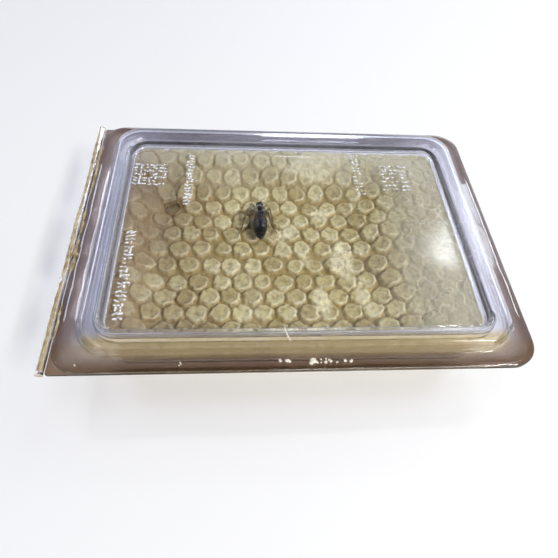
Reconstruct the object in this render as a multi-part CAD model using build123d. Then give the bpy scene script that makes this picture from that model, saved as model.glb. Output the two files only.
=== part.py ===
from build123d import *
import math
import os

# A clear hinged plastic cage that holds a piece of capped half comb and the queen who walks on it.
# Millimetres, +Z up. The origin is the bottom centre of the closed cage, on its underside.
# +Y points away from the front edge, and the fold of the hinge lies along the left side, at -X.

# Driving dimensions.
lid_width = 105.0  # lid flange, along X
lid_depth = 76.5  # lid flange, along Y
tray_height = 13.2  # underside of the tray to the face where tray and lid meet
shell_wall = 0.8  # moulded wall of both shells
side_flange = 4.7  # flat flange outside the ring, left and right
front_flange = 3.6  # flat flange outside the ring, front and back
ring_width = 5.1  # raised ring, over both of its walls
ring_height = 3.4  # ring above the flange
lid_corner = 6.0  # corner radius of the flange
ring_corner = 7.0  # outside corner radius of the ring
window_corner = 3.6  # corner radius of the window
tray_draft = 1.0  # how far each tray wall leans in from mouth to floor
ring_draft = 0.45  # how far each ring wall leans in towards the crest
plug_gap = 0.3  # gap all round between the lid's plug and the tray's mouth
face_gap = 0.15  # gap between the two flanges
spigot_height = 2.1  # the tray wall above its flange, inside the ring
hinge_width = 2.2  # square-ended strip outside the flange
fold_gap = 0.1  # gap between the round fold of the hinge and the lid

cell_pitch = 5.35  # across the flats, cell to cell
cell_wall = 0.4
midrib_thickness = 0.7
cell_depth = 5.6
capping_height = 1.2
capping_gap = 0.12  # dark line left between neighbouring cappings
honey_gap = 0.03
comb_gap = 0.3  # comb to tray wall, at the floor
open_cell_share = 9  # one cell in about this many is left without its capping

hollow_left = 6.0  # comb edge to the floor of the walking hollow, on each side
hollow_right = 24.0
hollow_front = 3.0
hollow_back = 11.0
slope_left = 5.0  # width of the slope from the hollow's floor up to the raised rim, on each side
slope_right = 17.0
slope_front = 2.0
slope_back = 8.0
rim_gap = 0.45  # raised rim of the comb to the window

queen_x = -7.1  # middle of her body, from the origin
queen_y = 4.9  # a little behind the middle of her abdomen
queen_thorax_radius = 1.6
queen_abdomen_length = 8.4
queen_abdomen_radius = 1.88
queen_head_radius = 1.05
queen_leg_radius = 0.17
queen_joint_gap = 0.02  # between the parts of her body
queen_stance = 0.35  # belly above the cappings

# Worked-out sizes.
window_width = lid_width - 2 * (side_flange + ring_width)
window_depth = lid_depth - 2 * (front_flange + ring_width)
ring_outer_width = lid_width - 2 * side_flange
ring_outer_depth = lid_depth - 2 * front_flange
lid_x = hinge_width / 2
tray_flange_bottom = tray_height - shell_wall
lid_bottom = tray_height + face_gap
lid_top = lid_bottom + shell_wall
crest_top = lid_top + ring_height
comb_bottom = shell_wall
capping_bottom = comb_bottom + midrib_thickness + cell_depth
comb_top = capping_bottom + capping_height
mouth_width = window_width + 2 * (shell_wall + plug_gap)
mouth_depth = window_depth + 2 * (shell_wall + plug_gap)
mouth_corner = window_corner + shell_wall + plug_gap
floor_width = mouth_width - 2 * tray_draft
floor_depth = mouth_depth - 2 * tray_draft
fold_radius = shell_wall + face_gap / 2
hinge_x = lid_x - lid_width / 2 - hinge_width + fold_radius
hinge_z = tray_height + face_gap / 2


def rounded_plate(width, depth, corner, bottom, thickness, centre_x=lid_x):
    """A flat plate with round corners, lying on the height called bottom."""
    outline = Plane.XY.offset(bottom) * Pos(centre_x, 0) * RectangleRounded(width, depth, corner)
    return extrude(outline, amount=thickness)


def leaning_block(width, depth, corner, lean, bottom, height):
    """A block with round corners whose walls lean in by lean over its height."""
    low = Plane.XY.offset(bottom) * Pos(lid_x, 0) * RectangleRounded(width, depth, corner)
    high_corner = max(corner - lean, corner / 2)
    high_outline = RectangleRounded(width - 2 * lean, depth - 2 * lean, high_corner)
    high = Plane.XY.offset(bottom + height) * Pos(lid_x, 0) * high_outline
    return loft([low, high])


def group(solids):
    """Separate solids of one kind that share a node."""
    return Compound(children=list(solids))


# The tray: floor, leaning walls, flange, and the spigot that stands up inside the lid's ring.
def make_tray():
    wall_height = tray_height + spigot_height
    lean = tray_draft * wall_height / tray_height
    outer_width = floor_width + 2 * shell_wall
    outer_depth = floor_depth + 2 * shell_wall
    outer_corner = mouth_corner + shell_wall - tray_draft
    outer = leaning_block(outer_width, outer_depth, outer_corner, -lean, 0, wall_height)
    inner_corner = mouth_corner - tray_draft
    inner = leaning_block(floor_width, floor_depth, inner_corner, -lean, shell_wall, wall_height)
    flange = rounded_plate(lid_width, lid_depth, lid_corner, tray_flange_bottom, shell_wall)
    strip_left = hinge_x + fold_radius
    strip_width = lid_x - lid_width / 2 + lid_corner - strip_left
    strip_place = Pos(strip_left + strip_width / 2, 0, tray_height - shell_wall / 2)
    strip = strip_place * Box(strip_width, lid_depth, shell_wall)
    return outer + flange + strip - inner


# The fold: the plastic turned back on itself along the whole hinge side, as thick as both flanges.
def make_hinge_fold():
    roll = Pos(hinge_x, 0, hinge_z) * Rot(90, 0, 0) * Cylinder(fold_radius, lid_depth)
    foot_place = Pos(hinge_x + fold_radius / 2, 0, tray_height - shell_wall / 2)
    foot = foot_place * Box(fold_radius, lid_depth, shell_wall)
    return roll + foot


# The lid: flange, hollow ring, and the flat window sunk inside it, all one wall thick.
def make_lid():
    plate = rounded_plate(lid_width, lid_depth, lid_corner, lid_bottom, shell_wall)
    ring_block = leaning_block(
        ring_outer_width, ring_outer_depth, ring_corner, ring_draft, lid_top, ring_height
    )
    recess = leaning_block(
        window_width, window_depth, window_corner, -ring_draft, lid_top, ring_height
    )
    hollow_outer = leaning_block(
        ring_outer_width - 2 * shell_wall,
        ring_outer_depth - 2 * shell_wall,
        ring_corner - shell_wall,
        ring_draft,
        lid_bottom,
        crest_top - shell_wall - lid_bottom,
    )
    hollow_core = leaning_block(
        window_width + 2 * shell_wall,
        window_depth + 2 * shell_wall,
        window_corner + shell_wall,
        -ring_draft,
        lid_bottom,
        crest_top - shell_wall - lid_bottom,
    )
    hollow = hollow_outer - hollow_core
    lid = plate + ring_block - recess - hollow
    leaf_left = hinge_x + fold_radius + fold_gap
    leaf_width = lid_x - lid_width / 2 + lid_corner - leaf_left
    leaf_length = lid_depth - 2 * lid_corner
    leaf_place = Pos(leaf_left + leaf_width / 2, 0, lid_bottom + shell_wall / 2)
    return lid + leaf_place * Box(leaf_width, leaf_length, shell_wall)


# Raised dashes moulded on the window: two blocks, a short column and a long column.
def make_moulded_marks():
    mark_height = 0.12
    mark_width = 0.35
    dashes = []

    def dash_rows(left, front, columns, rows, step_x, step_y, length_x, length_y):
        for column in range(columns):
            for row in range(rows):
                place = Pos(
                    lid_x + left + column * step_x,
                    front + row * step_y,
                    lid_top + mark_height / 2,
                )
                dashes.append(place * Box(length_x, length_y, mark_height))

    long_column_count = 15
    long_column_step = 0.43 * window_depth / long_column_count
    from_left = -window_width / 2
    from_back = window_depth / 2
    dash_rows(from_left + 2.6, -from_back + 3.5, 1, long_column_count, 0, long_column_step, 2.0, mark_width)
    dash_rows(from_left + 1.6, from_back - 13.5, 4, 4, 2.4, 2.1, 1.5, mark_width)
    dash_rows(from_left + 15.6, from_back - 21.0, 1, 12, 0, 1.6, 1.3, mark_width)
    dash_rows(-from_left - 22.6, from_back - 16.5, 1, 10, 0, 1.6, 1.4, mark_width)
    dash_rows(-from_left - 16.0, from_back - 14.5, 4, 4, 2.2, 2.6, 1.5, mark_width)
    return group(dashes)


# The comb: cells in rows along X, staggered from row to row, inside a block with round corners.
row_step = cell_pitch * math.sqrt(3) / 2
cell_corner_radius = (cell_pitch - cell_wall) / math.sqrt(3)
comb_width = floor_width - 2 * comb_gap
comb_depth = floor_depth - 2 * comb_gap
comb_corner = mouth_corner - tray_draft
floor_left = lid_x - comb_width / 2 + hollow_left
floor_right = lid_x + comb_width / 2 - hollow_right
floor_front = -comb_depth / 2 + hollow_front
floor_back = comb_depth / 2 - hollow_back
hollow_corner = 3.0
rim_top = lid_bottom - rim_gap


def cell_centres():
    """Every whole cell that fits in the comb, as x, y, row and column."""
    reach_x = comb_width / 2 - cell_pitch / 2 - cell_wall
    reach_y = comb_depth / 2 - cell_pitch / math.sqrt(3) - cell_wall / 2
    rows = int(reach_y // row_step)
    columns = int(reach_x // cell_pitch) + 1
    cells = []
    for row in range(-rows, rows + 1):
        shift = cell_pitch / 2 if row % 2 else 0
        for column in range(-columns, columns + 1):
            x = column * cell_pitch + shift
            if abs(x) <= reach_x:
                cells.append((lid_x + x, row * row_step, row, column))
    return cells


def is_open(row, column):
    """True for the scattered cells that the bees haven't capped."""
    return (row * 7 + column * 5 + row * row * column) % open_cell_share == 0


def hexagon_at(x, y, z, corner_radius):
    return Plane.XY.offset(z) * Pos(x, y) * RegularPolygon(corner_radius, 6, rotation=30)


def in_hollow(x, y):
    """True if a cell's capping lies on the floor of the walking hollow."""
    clear = cell_pitch / math.sqrt(3)
    inside_x = floor_left + clear < x < floor_right - clear
    return inside_x and floor_front + clear < y < floor_back - clear


def make_raised_comb():
    """The comb around the hollow, drawn out almost to the window, with slopes down to the floor."""
    height = rim_top - capping_bottom
    lean = tray_draft / tray_height
    start = lean * (capping_bottom - shell_wall)
    block = leaning_block(
        comb_width + 2 * start,
        comb_depth + 2 * start,
        comb_corner,
        -lean * height,
        capping_bottom,
        height,
    )
    floor_width_x = floor_right - floor_left
    floor_width_y = floor_back - floor_front
    floor_middle = Pos((floor_left + floor_right) / 2, (floor_front + floor_back) / 2)
    floor_outline = floor_middle * RectangleRounded(floor_width_x, floor_width_y, hollow_corner)
    brim_width_x = floor_width_x + slope_left + slope_right
    brim_width_y = floor_width_y + slope_front + slope_back
    brim_x = (floor_left - slope_left + floor_right + slope_right) / 2
    brim_y = (floor_front - slope_front + floor_back + slope_back) / 2
    brim_outline = Pos(brim_x, brim_y) * RectangleRounded(brim_width_x, brim_width_y, hollow_corner)
    low = Plane.XY.offset(capping_bottom) * floor_outline
    high = Plane.XY.offset(rim_top) * brim_outline
    return block - loft([low, high])


def make_midrib():
    return rounded_plate(comb_width, comb_depth, comb_corner, comb_bottom, midrib_thickness)


def make_cell_walls(cells):
    bottom = comb_bottom + midrib_thickness
    face = Plane.XY.offset(bottom) * Pos(lid_x, 0) * RectangleRounded(comb_width, comb_depth, comb_corner)
    openings = [hexagon_at(x, y, bottom, cell_corner_radius) for x, y, row, column in cells]
    return extrude(face - openings, amount=cell_depth)


def make_honey(cells):
    bottom = comb_bottom + midrib_thickness + honey_gap
    radius = cell_corner_radius - honey_gap
    full_depth = cell_depth - 2 * honey_gap
    open_depth = full_depth * 0.8
    drops = []
    for x, y, row, column in cells:
        depth = open_depth if is_open(row, column) else full_depth
        drops.append(extrude(hexagon_at(x, y, bottom, radius), amount=depth))
    return group(drops)


def make_cappings(cells):
    """A low six-sided cap with sloping shoulders over each full cell in the hollow."""
    edge_radius = (cell_pitch - capping_gap) / math.sqrt(3)
    top_radius = edge_radius * 0.7
    caps = []
    for x, y, row, column in cells:
        if is_open(row, column) or not in_hollow(x, y):
            continue
        low = hexagon_at(x, y, capping_bottom, edge_radius)
        high = hexagon_at(x, y, comb_top, top_radius)
        caps.append(loft([low, high]))
    return group(caps)


# The queen stands on the cappings, with her head to the back.
body_z = comb_top + queen_stance + queen_thorax_radius
thorax_y = queen_y + queen_abdomen_length / 2
head_length = 1.4 * queen_head_radius
head_y = thorax_y + queen_thorax_radius + queen_joint_gap + head_length / 2


def ellipsoid(x, y, z, radius_x, radius_y, radius_z):
    ball = scale(Sphere(1.0), by=(radius_x, radius_y, radius_z))
    return Pos(x, y, z) * ball


def rod(points, radius):
    """Straight round lengths with a ball at each joint."""
    pieces = None
    for start, end in zip(points, points[1:]):
        along = Vector(*end) - Vector(*start)
        section = Plane(origin=start, z_dir=along) * Circle(radius)
        piece = extrude(section, amount=along.length)
        pieces = piece if pieces is None else pieces + piece
        pieces = pieces + Pos(*end) * Sphere(radius)
    return pieces


def make_thorax():
    radius = queen_thorax_radius
    return ellipsoid(queen_x, thorax_y, body_z, radius, radius, radius)


def make_head():
    return ellipsoid(queen_x, head_y, body_z - 0.1, queen_head_radius, head_length / 2, queen_head_radius)


def make_abdomen():
    """A pointed spindle, widest a third of the way back, a little flattened from above."""
    front = thorax_y - queen_thorax_radius - queen_joint_gap
    tip = front - queen_abdomen_length
    widest = front - queen_abdomen_length * 0.36
    middle_line = Line((0, tip), (0, front))
    side = Spline([(0, front), (queen_abdomen_radius, widest), (0, tip)])
    spindle = revolve(make_face(side + middle_line), axis=Axis.Y)
    return Pos(queen_x, 0, body_z) * scale(spindle, by=(1, 1, 0.85))


def make_leg_pair(hip_back, knee_reach, knee_back, foot_reach, foot_back):
    """Two legs, each from a hip on the thorax over a raised knee to a foot on the cappings."""
    knee_z = body_z + 0.5
    foot_z = comb_top + queen_leg_radius
    ankle_z = comb_top + 1.0
    hip_out = 0.86
    hip_down = 0.5
    hip_radius = queen_thorax_radius + queen_leg_radius + queen_joint_gap
    hip_length = math.sqrt(hip_out**2 + hip_down**2 + hip_back**2)
    legs = []
    for side in (-1, 1):
        hip_x = queen_x + side * hip_out / hip_length * hip_radius
        hip_y = thorax_y - hip_back / hip_length * hip_radius
        hip_z = body_z - hip_down / hip_length * hip_radius
        knee = (queen_x + side * knee_reach, thorax_y - knee_back, knee_z)
        foot = (queen_x + side * foot_reach, thorax_y - foot_back, foot_z)
        ankle = ((knee[0] + foot[0]) / 2, (knee[1] + foot[1]) / 2, ankle_z)
        legs.append(rod([(hip_x, hip_y, hip_z), knee, ankle, foot], queen_leg_radius))
    return group(legs)


def make_antennae():
    feeler_radius = 0.12
    root_y = head_y + head_length / 2 + feeler_radius
    feelers = []
    for side in (-1, 1):
        root = (queen_x + side * 0.35, root_y, body_z + 0.1)
        elbow = (queen_x + side * 0.8, root_y + 0.8, body_z + 0.4)
        tip = (queen_x + side * 1.2, root_y + 1.9, body_z - 0.5)
        feelers.append(rod([root, elbow, tip], feeler_radius))
    return group(feelers)


def make_wings():
    """Two flat wings laid back over the front of the abdomen."""
    wing_thickness = 0.08
    wing_length = 5.0
    wing_width = 1.5
    wing_spread = 9  # degrees from her length
    wing_z = body_z + queen_thorax_radius + queen_joint_gap
    wing_y = thorax_y - wing_length / 2 + 0.4
    outline = Plane.XY.offset(wing_z) * Ellipse(wing_width / 2, wing_length / 2)
    blade = extrude(outline, amount=wing_thickness)
    wings = []
    for side in (-1, 1):
        wings.append(Pos(queen_x + side * 1.0, wing_y) * Rot(0, 0, side * wing_spread) * blade)
    return group(wings)


# Wax crumbs that fell on the lid, one long wax sliver on its ring, and propolis along the hinge.
def make_wax_crumbs():
    flange_y = -lid_depth / 2 + front_flange * 0.5
    crumbs = []
    steps = (-4.9, 1.7, 3.0, 4.5, 5.7, 8.7, 10.2)
    radii = (0.45, 0.7, 0.5, 0.6, 0.35, 0.4, 0.5)
    for step, radius in zip(steps, radii):
        dome = Sphere(radius) & Pos(0, 0, radius) * Box(3 * radius, 3 * radius, 2 * radius)
        crumbs.append(Pos(lid_x + step, flange_y, lid_top) * scale(dome, by=(1.3, 0.9, 0.7)))
    return group(crumbs)


def make_wax_sliver():
    sliver_thickness = 0.24
    sliver_length = ring_width - 2 * ring_draft - 0.6
    sliver_y = -window_depth / 2 - ring_width / 2
    place = Pos(lid_x - 3.6, sliver_y, crest_top + sliver_thickness / 2)
    return place * Rot(0, 0, 19) * Box(0.3, sliver_length, sliver_thickness)


def make_propolis():
    smear_thickness = 0.22
    smear_left = hinge_x + fold_radius + fold_gap
    smear_width = side_flange * 0.2
    smears = []
    for middle, length in ((-0.16, 0.14), (0.02, 0.12), (0.3, 0.2)):
        outline = RectangleRounded(smear_width, lid_depth * length, smear_width * 0.3)
        place = Plane.XY.offset(lid_top) * Pos(smear_left + smear_width / 2, lid_depth * middle)
        smears.append(extrude(place * outline, amount=smear_thickness))
    return group(smears)


def save(name, shape):
    export_step(shape, os.path.join("parts", name + ".step"))


os.makedirs("parts", exist_ok=True)
cells = cell_centres()
save("tray", make_tray())
save("hinge_fold", make_hinge_fold())
save("lid", make_lid())
save("moulded_marks", make_moulded_marks())
save("comb_midrib", make_midrib())
save("comb_cell_walls", make_cell_walls(cells))
save("honey_fill", make_honey(cells))
save("comb_cappings", make_cappings(cells))
save("raised_comb", make_raised_comb())
save("queen_thorax", make_thorax())
save("queen_head", make_head())
save("queen_abdomen", make_abdomen())
save("queen_front_legs", make_leg_pair(-0.6, 2.7, -1.7, 3.2, -3.4))
save("queen_middle_legs", make_leg_pair(0.1, 3.1, 0.4, 4.3, 2.6))
save("queen_hind_legs", make_leg_pair(0.75, 3.2, 2.4, 4.6, 6.6))
save("queen_antennae", make_antennae())
save("queen_wings", make_wings())
save("wax_crumbs", make_wax_crumbs())
save("wax_sliver", make_wax_sliver())
save("propolis_smears", make_propolis())
hollow_edges = [floor_left, floor_right, floor_front, floor_back]
print("hollow", [round(edge, 2) for edge in hollow_edges], "comb top", round(comb_top, 2))
print("cells", len(cells), "hinge axis", round(hinge_x, 3), round(hinge_z, 3), "top", round(crest_top, 3))
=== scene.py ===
import bpy
import bmesh
import math
import random
from mathutils import Matrix, Vector, noise


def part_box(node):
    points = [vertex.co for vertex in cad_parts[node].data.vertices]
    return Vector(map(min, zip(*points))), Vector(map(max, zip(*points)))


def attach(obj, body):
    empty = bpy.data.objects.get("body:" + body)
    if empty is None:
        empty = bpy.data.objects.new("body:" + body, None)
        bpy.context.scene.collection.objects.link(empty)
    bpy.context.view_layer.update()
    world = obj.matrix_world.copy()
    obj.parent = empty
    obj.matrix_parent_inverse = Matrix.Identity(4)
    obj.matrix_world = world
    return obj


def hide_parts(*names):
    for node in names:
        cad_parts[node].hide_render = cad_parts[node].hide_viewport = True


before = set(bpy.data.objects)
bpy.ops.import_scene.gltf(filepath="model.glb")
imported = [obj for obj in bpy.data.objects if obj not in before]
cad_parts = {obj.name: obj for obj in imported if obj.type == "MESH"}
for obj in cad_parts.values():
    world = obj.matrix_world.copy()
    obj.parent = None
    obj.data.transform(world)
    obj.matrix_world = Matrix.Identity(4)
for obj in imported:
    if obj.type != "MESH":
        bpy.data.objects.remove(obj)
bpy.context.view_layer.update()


# ---------------------------------------------------------------------------
# Camera: a phone held low over the front edge and a little to the left, tipped and slightly
# rolled, so the near left corner comes forward.
# ---------------------------------------------------------------------------
MM = 0.001
camera_data = bpy.data.cameras.new("camera")
camera_data.lens = 29.25
camera_data.sensor_width = 36
camera_data.clip_start = 0.005
camera_data.clip_end = 20
camera = bpy.data.objects.new("camera", camera_data)
bpy.context.scene.collection.objects.link(camera)
camera_turn = (
    Matrix.Rotation(math.radians(-8.53), 4, "Z")
    @ Matrix.Rotation(math.radians(90 - 55.9), 4, "X")
    @ Matrix.Rotation(math.radians(7.02), 4, "Z")
)
camera.matrix_world = Matrix.Translation(Vector((-12.15, -74.86, 102.71)) * MM) @ camera_turn
bpy.context.scene.camera = camera


# ---------------------------------------------------------------------------
# Floor and light: a plain pale table in a dim cool room with soft glows ahead. A small window and
# long tubes behind and at both sides, a warm lamp at the front right and a fill at the front left.
# ---------------------------------------------------------------------------
def new_mesh(name, points, faces, smooth=True):
    """A mesh object from points in millimetres."""
    mesh = bpy.data.meshes.new(name)
    mesh.from_pydata([(x * MM, y * MM, z * MM) for x, y, z in points], [], faces)
    mesh.update()
    for polygon in mesh.polygons:
        polygon.use_smooth = smooth
    piece = bpy.data.objects.new(name, mesh)
    bpy.context.scene.collection.objects.link(piece)
    return piece


def new_material(name):
    """A material with its node tree, its Principled node, and its output node."""
    material = bpy.data.materials.new(name)
    material.use_nodes = True
    tree = material.node_tree
    return material, tree, tree.nodes["Principled BSDF"], tree.nodes["Material Output"]


def add_node(tree, kind, **values):
    """A node of one kind, with its own settings or its input sockets set by name."""
    node = tree.nodes.new(kind)
    for key, value in values.items():
        if hasattr(node, key):
            setattr(node, key, value)
        else:
            node.inputs[key.replace("_", " ")].default_value = value
    return node


def ramp(tree, source, stops, interpolation="LINEAR"):
    """A colour ramp fed by a value, with stops of (place, colour)."""
    node = tree.nodes.new("ShaderNodeValToRGB")
    node.color_ramp.interpolation = interpolation
    while len(node.color_ramp.elements) < len(stops):
        node.color_ramp.elements.new(0.5)
    for element, (place, color) in zip(node.color_ramp.elements, stops):
        element.position = place
        element.color = (*color, 1) if len(color) == 3 else color
    tree.links.new(source, node.inputs["Fac"])
    return node


FLOOR_COLOR = (0.86, 0.855, 0.85)
floor_half = 1500
floor = new_mesh(
    "table_top",
    [
        (-floor_half, -floor_half, -0.02),
        (floor_half, -floor_half, -0.02),
        (floor_half, floor_half, -0.02),
        (-floor_half, floor_half, -0.02),
    ],
    [(0, 1, 2, 3)],
    smooth=False,
)
floor_material, tree, principled, output = new_material("table_paint")
principled.inputs["Base Color"].default_value = (*FLOOR_COLOR, 1)
principled.inputs["Roughness"].default_value = 0.6
floor.data.materials.append(floor_material)

world = bpy.data.worlds.new("room")
bpy.context.scene.world = world
world.use_nodes = True
tree = world.node_tree
background = tree.nodes["Background"]
coordinates = add_node(tree, "ShaderNodeTexCoord")
split = add_node(tree, "ShaderNodeSeparateXYZ")
tree.links.new(coordinates.outputs["Generated"], split.inputs["Vector"])
sky = ramp(
    tree,
    split.outputs["Z"],
    [
        (0.0, (0.46, 0.45, 0.44)),
        (0.25, (0.20, 0.20, 0.22)),
        (0.6, (0.052, 0.054, 0.064)),
        (1.0, (0.05, 0.05, 0.058)),
    ],
)
side_glow = add_node(tree, "ShaderNodeMapRange")
side_glow.inputs["From Min"].default_value = 0.28
side_glow.inputs["From Max"].default_value = 0.52
tree.links.new(split.outputs["X"], side_glow.inputs["Value"])
left_glow = add_node(tree, "ShaderNodeMapRange")
left_glow.inputs["From Min"].default_value = -0.14
left_glow.inputs["From Max"].default_value = -0.36
tree.links.new(split.outputs["X"], left_glow.inputs["Value"])
ahead = add_node(tree, "ShaderNodeMapRange")
ahead.inputs["From Min"].default_value = 0.3
ahead.inputs["From Max"].default_value = 0.5
tree.links.new(split.outputs["Y"], ahead.inputs["Value"])


def glow(base, share, color):
    """Adds a broad patch of brighter sky, only on the side ahead of the camera."""
    amount = add_node(tree, "ShaderNodeMath", operation="MULTIPLY")
    tree.links.new(share, amount.inputs[0])
    tree.links.new(ahead.outputs["Result"], amount.inputs[1])
    node = add_node(tree, "ShaderNodeMix", data_type="RGBA", blend_type="ADD")
    tree.links.new(amount.outputs[0], node.inputs[0])
    tree.links.new(base, node.inputs[6])
    node.inputs[7].default_value = (*color, 1)
    return node.outputs[2]


room = glow(sky.outputs["Color"], side_glow.outputs["Result"], (1.25, 1.32, 1.45))
room = glow(room, left_glow.outputs["Result"], (0.62, 0.60, 0.72))
tree.links.new(room, background.inputs["Color"])
background.inputs["Strength"].default_value = 1.0
bpy.context.scene.view_settings.view_transform = "Standard"


def area_light(name, place, width, height, color, strength, aimed=True):
    """A soft rectangular light, in metres, aimed at the cage or else facing straight down."""
    data = bpy.data.lights.new(name, "AREA")
    data.shape = "RECTANGLE"
    data.size = width
    data.size_y = height
    data.color = color
    data.energy = strength
    lamp = bpy.data.objects.new(name, data)
    lamp.location = place
    if aimed:
        lamp.rotation_euler = (-Vector(place)).to_track_quat("-Z", "Y").to_euler()
    bpy.context.scene.collection.objects.link(lamp)
    return lamp


area_light("window_light", (0.416, 0.482, 0.637), 0.036, 0.026, (0.95, 0.98, 1.0), 0.22)
area_light("back_tube", (0.145, 0.765, 0.60), 0.22, 0.060, (0.84, 0.92, 1.0), 2.4, aimed=False)
area_light("right_band", (0.530, 0.610, 0.70), 0.048, 0.24, (0.70, 0.84, 1.0), 0.26, aimed=False)
area_light("right_tube", (0.650, 0.585, 0.70), 0.100, 0.42, (0.80, 0.89, 1.0), 2.6, aimed=False)
area_light("left_tube", (-0.425, 0.585, 0.70), 0.080, 0.42, (0.74, 0.82, 1.0), 1.3, aimed=False)
area_light("lamp", (0.44, -0.34, 0.58), 0.15, 0.15, (1.0, 0.975, 0.93), 5.2)
area_light("fill", (-0.50, -0.54, 0.54), 0.30, 0.30, (0.92, 0.95, 1.0), 1.8)


# ---------------------------------------------------------------------------
# Tray: the clear lower half. A floor, walls that lean out, a flat flange with square corners on
# the hinge side, and a short wall that stands up inside the lid's ring. One clear moulding.
# ---------------------------------------------------------------------------
def smooth_step(low, high, value):
    share = min(max((value - low) / (high - low), 0.0), 1.0)
    return share * share * (3 - 2 * share)


def node_box(name):
    """Lowest and highest corner of a CAD node, in millimetres."""
    low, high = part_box(name)
    return Vector(low) / MM, Vector(high) / MM


tray_low, tray_high = node_box("tray")
lid_low, lid_high = node_box("lid")
fold_low, fold_high = node_box("hinge_fold")
marks_low, marks_high = node_box("moulded_marks")
LID_MIDDLE_X = 1.1
LID_HALF_WIDTH = 52.5
LID_HALF_DEPTH = lid_high.y
WALL = 0.8
FLANGE_SIDE = 4.7
FLANGE_FRONT = 3.6
RING_WIDTH = 5.1
LID_BOTTOM = lid_low.z
LID_TOP = LID_BOTTOM + WALL
CREST = lid_high.z
FLANGE_TOP = LID_BOTTOM - 0.15
FLANGE_BOTTOM = FLANGE_TOP - WALL
SPIGOT_TOP = tray_high.z
WINDOW_HALF_X = LID_HALF_WIDTH - FLANGE_SIDE - RING_WIDTH
WINDOW_HALF_Y = LID_HALF_DEPTH - FLANGE_FRONT - RING_WIDTH
TRAY_LEAN = 1.0 / 13.2
MOUTH_GAP = 1.1
CORNER_STEPS = 14
EDGE_STEP = 2.4


def rounded_loop(half_x, half_y, corner, z, left_corner=None, left_extra=0.0, wave=0.0):
    """Points round a rectangle with round corners, always the same number of them."""
    left_corner = corner if left_corner is None else left_corner
    corners = [
        (1, -1, corner, -90),
        (1, 1, corner, 0),
        (-1, 1, left_corner, 90),
        (-1, -1, left_corner, 180),
    ]
    arcs = []
    for sign_x, sign_y, radius, first_angle in corners:
        reach_x = half_x + (left_extra if sign_x < 0 else 0)
        centre_x = LID_MIDDLE_X + sign_x * (reach_x - radius)
        centre_y = sign_y * (half_y - radius)
        arc = []
        for step in range(CORNER_STEPS + 1):
            angle = math.radians(first_angle + 90 * step / CORNER_STEPS)
            arc.append((centre_x + radius * math.cos(angle), centre_y + radius * math.sin(angle)))
        arcs.append(arc)
    steps = [int(2 * LID_HALF_DEPTH / EDGE_STEP), int(2 * LID_HALF_WIDTH / EDGE_STEP)]
    points = []
    for index, arc in enumerate(arcs):
        points.extend(arc)
        start, end = arc[-1], arcs[(index + 1) % 4][0]
        count = steps[index % 2]
        for step in range(1, count):
            share = step / count
            points.append((start[0] + (end[0] - start[0]) * share, start[1] + (end[1] - start[1]) * share))
    shaped = []
    for x, y in points:
        lift = wave * noise.noise(Vector((x * 0.22, y * 0.22, 1.5)))
        shaped.append((x, y, z + lift))
    return shaped


def skin(name, loops, close_ends=True):
    """A closed shell through loops of equal length, with a flat face at each end."""
    points = [point for loop in loops for point in loop]
    count = len(loops[0])
    faces = []
    for row in range(len(loops) - 1):
        for index in range(count):
            after = (index + 1) % count
            low, high = row * count, (row + 1) * count
            faces.append((low + index, low + after, high + after, high + index))
    if close_ends:
        faces.append(tuple(reversed(range(count))))
        last = (len(loops) - 1) * count
        faces.append(tuple(range(last, last + count)))
    piece = new_mesh(name, points, faces)
    mesh_edit = bmesh.new()
    mesh_edit.from_mesh(piece.data)
    bmesh.ops.recalc_face_normals(mesh_edit, faces=mesh_edit.faces)
    mesh_edit.to_mesh(piece.data)
    mesh_edit.free()
    return piece


def turn(inset, z, radius, first, last, steps=5):
    """A rounded edge in a wall's outline, as (inset, z) points."""
    points = []
    for step in range(steps + 1):
        angle = math.radians(first + (last - first) * step / steps)
        points.append((inset + radius * math.cos(angle), z + radius * math.sin(angle)))
    return points


wear = bpy.data.node_groups.new("plastic_wear", "ShaderNodeTree")
wear_sockets = {"INPUT": ("Smear Scale", "Haze"), "OUTPUT": ("Roughness", "Veil", "Height")}
for in_out, socket_name in [(side, name) for side, names in wear_sockets.items() for name in names]:
    wear.interface.new_socket(name=socket_name, in_out=in_out, socket_type="NodeSocketFloat")
wear_in = wear.nodes.new("NodeGroupInput")
wear_out = wear.nodes.new("NodeGroupOutput")
place = add_node(wear, "ShaderNodeTexCoord")
smears = add_node(wear, "ShaderNodeTexNoise", Detail=5.0, Roughness=0.6, Distortion=0.8)
wear.links.new(place.outputs["Object"], smears.inputs["Vector"])
wear.links.new(wear_in.outputs["Smear Scale"], smears.inputs["Scale"])
smear_mask = ramp(wear, smears.outputs["Fac"], [(0.46, (0, 0, 0)), (0.72, (1, 1, 1))])
stretch = add_node(wear, "ShaderNodeMapping")
stretch.inputs["Rotation"].default_value = (0, 0, 0.7)
stretch.inputs["Scale"].default_value = (60, 1100, 400)
wear.links.new(place.outputs["Object"], stretch.inputs["Vector"])
scratches = add_node(wear, "ShaderNodeTexNoise", Scale=1.0, Detail=2.0, Roughness=0.5)
wear.links.new(stretch.outputs["Vector"], scratches.inputs["Vector"])
scratch_mask = ramp(wear, scratches.outputs["Fac"], [(0.62, (0, 0, 0)), (0.72, (1, 1, 1))])
smear_part = add_node(wear, "ShaderNodeMath", operation="MULTIPLY")
wear.links.new(smear_mask.outputs["Color"], smear_part.inputs[0])
wear.links.new(wear_in.outputs["Haze"], smear_part.inputs[1])
wear.links.new(smear_part.outputs[0], wear_out.inputs["Veil"])
scratch_part = add_node(wear, "ShaderNodeMath", operation="MULTIPLY_ADD")
scratch_part.inputs[1].default_value = 0.08
wear.links.new(scratch_mask.outputs["Color"], scratch_part.inputs[0])
wear.links.new(smear_part.outputs[0], scratch_part.inputs[2])
rough = add_node(wear, "ShaderNodeMath", operation="ADD")
rough.inputs[1].default_value = 0.010
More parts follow.
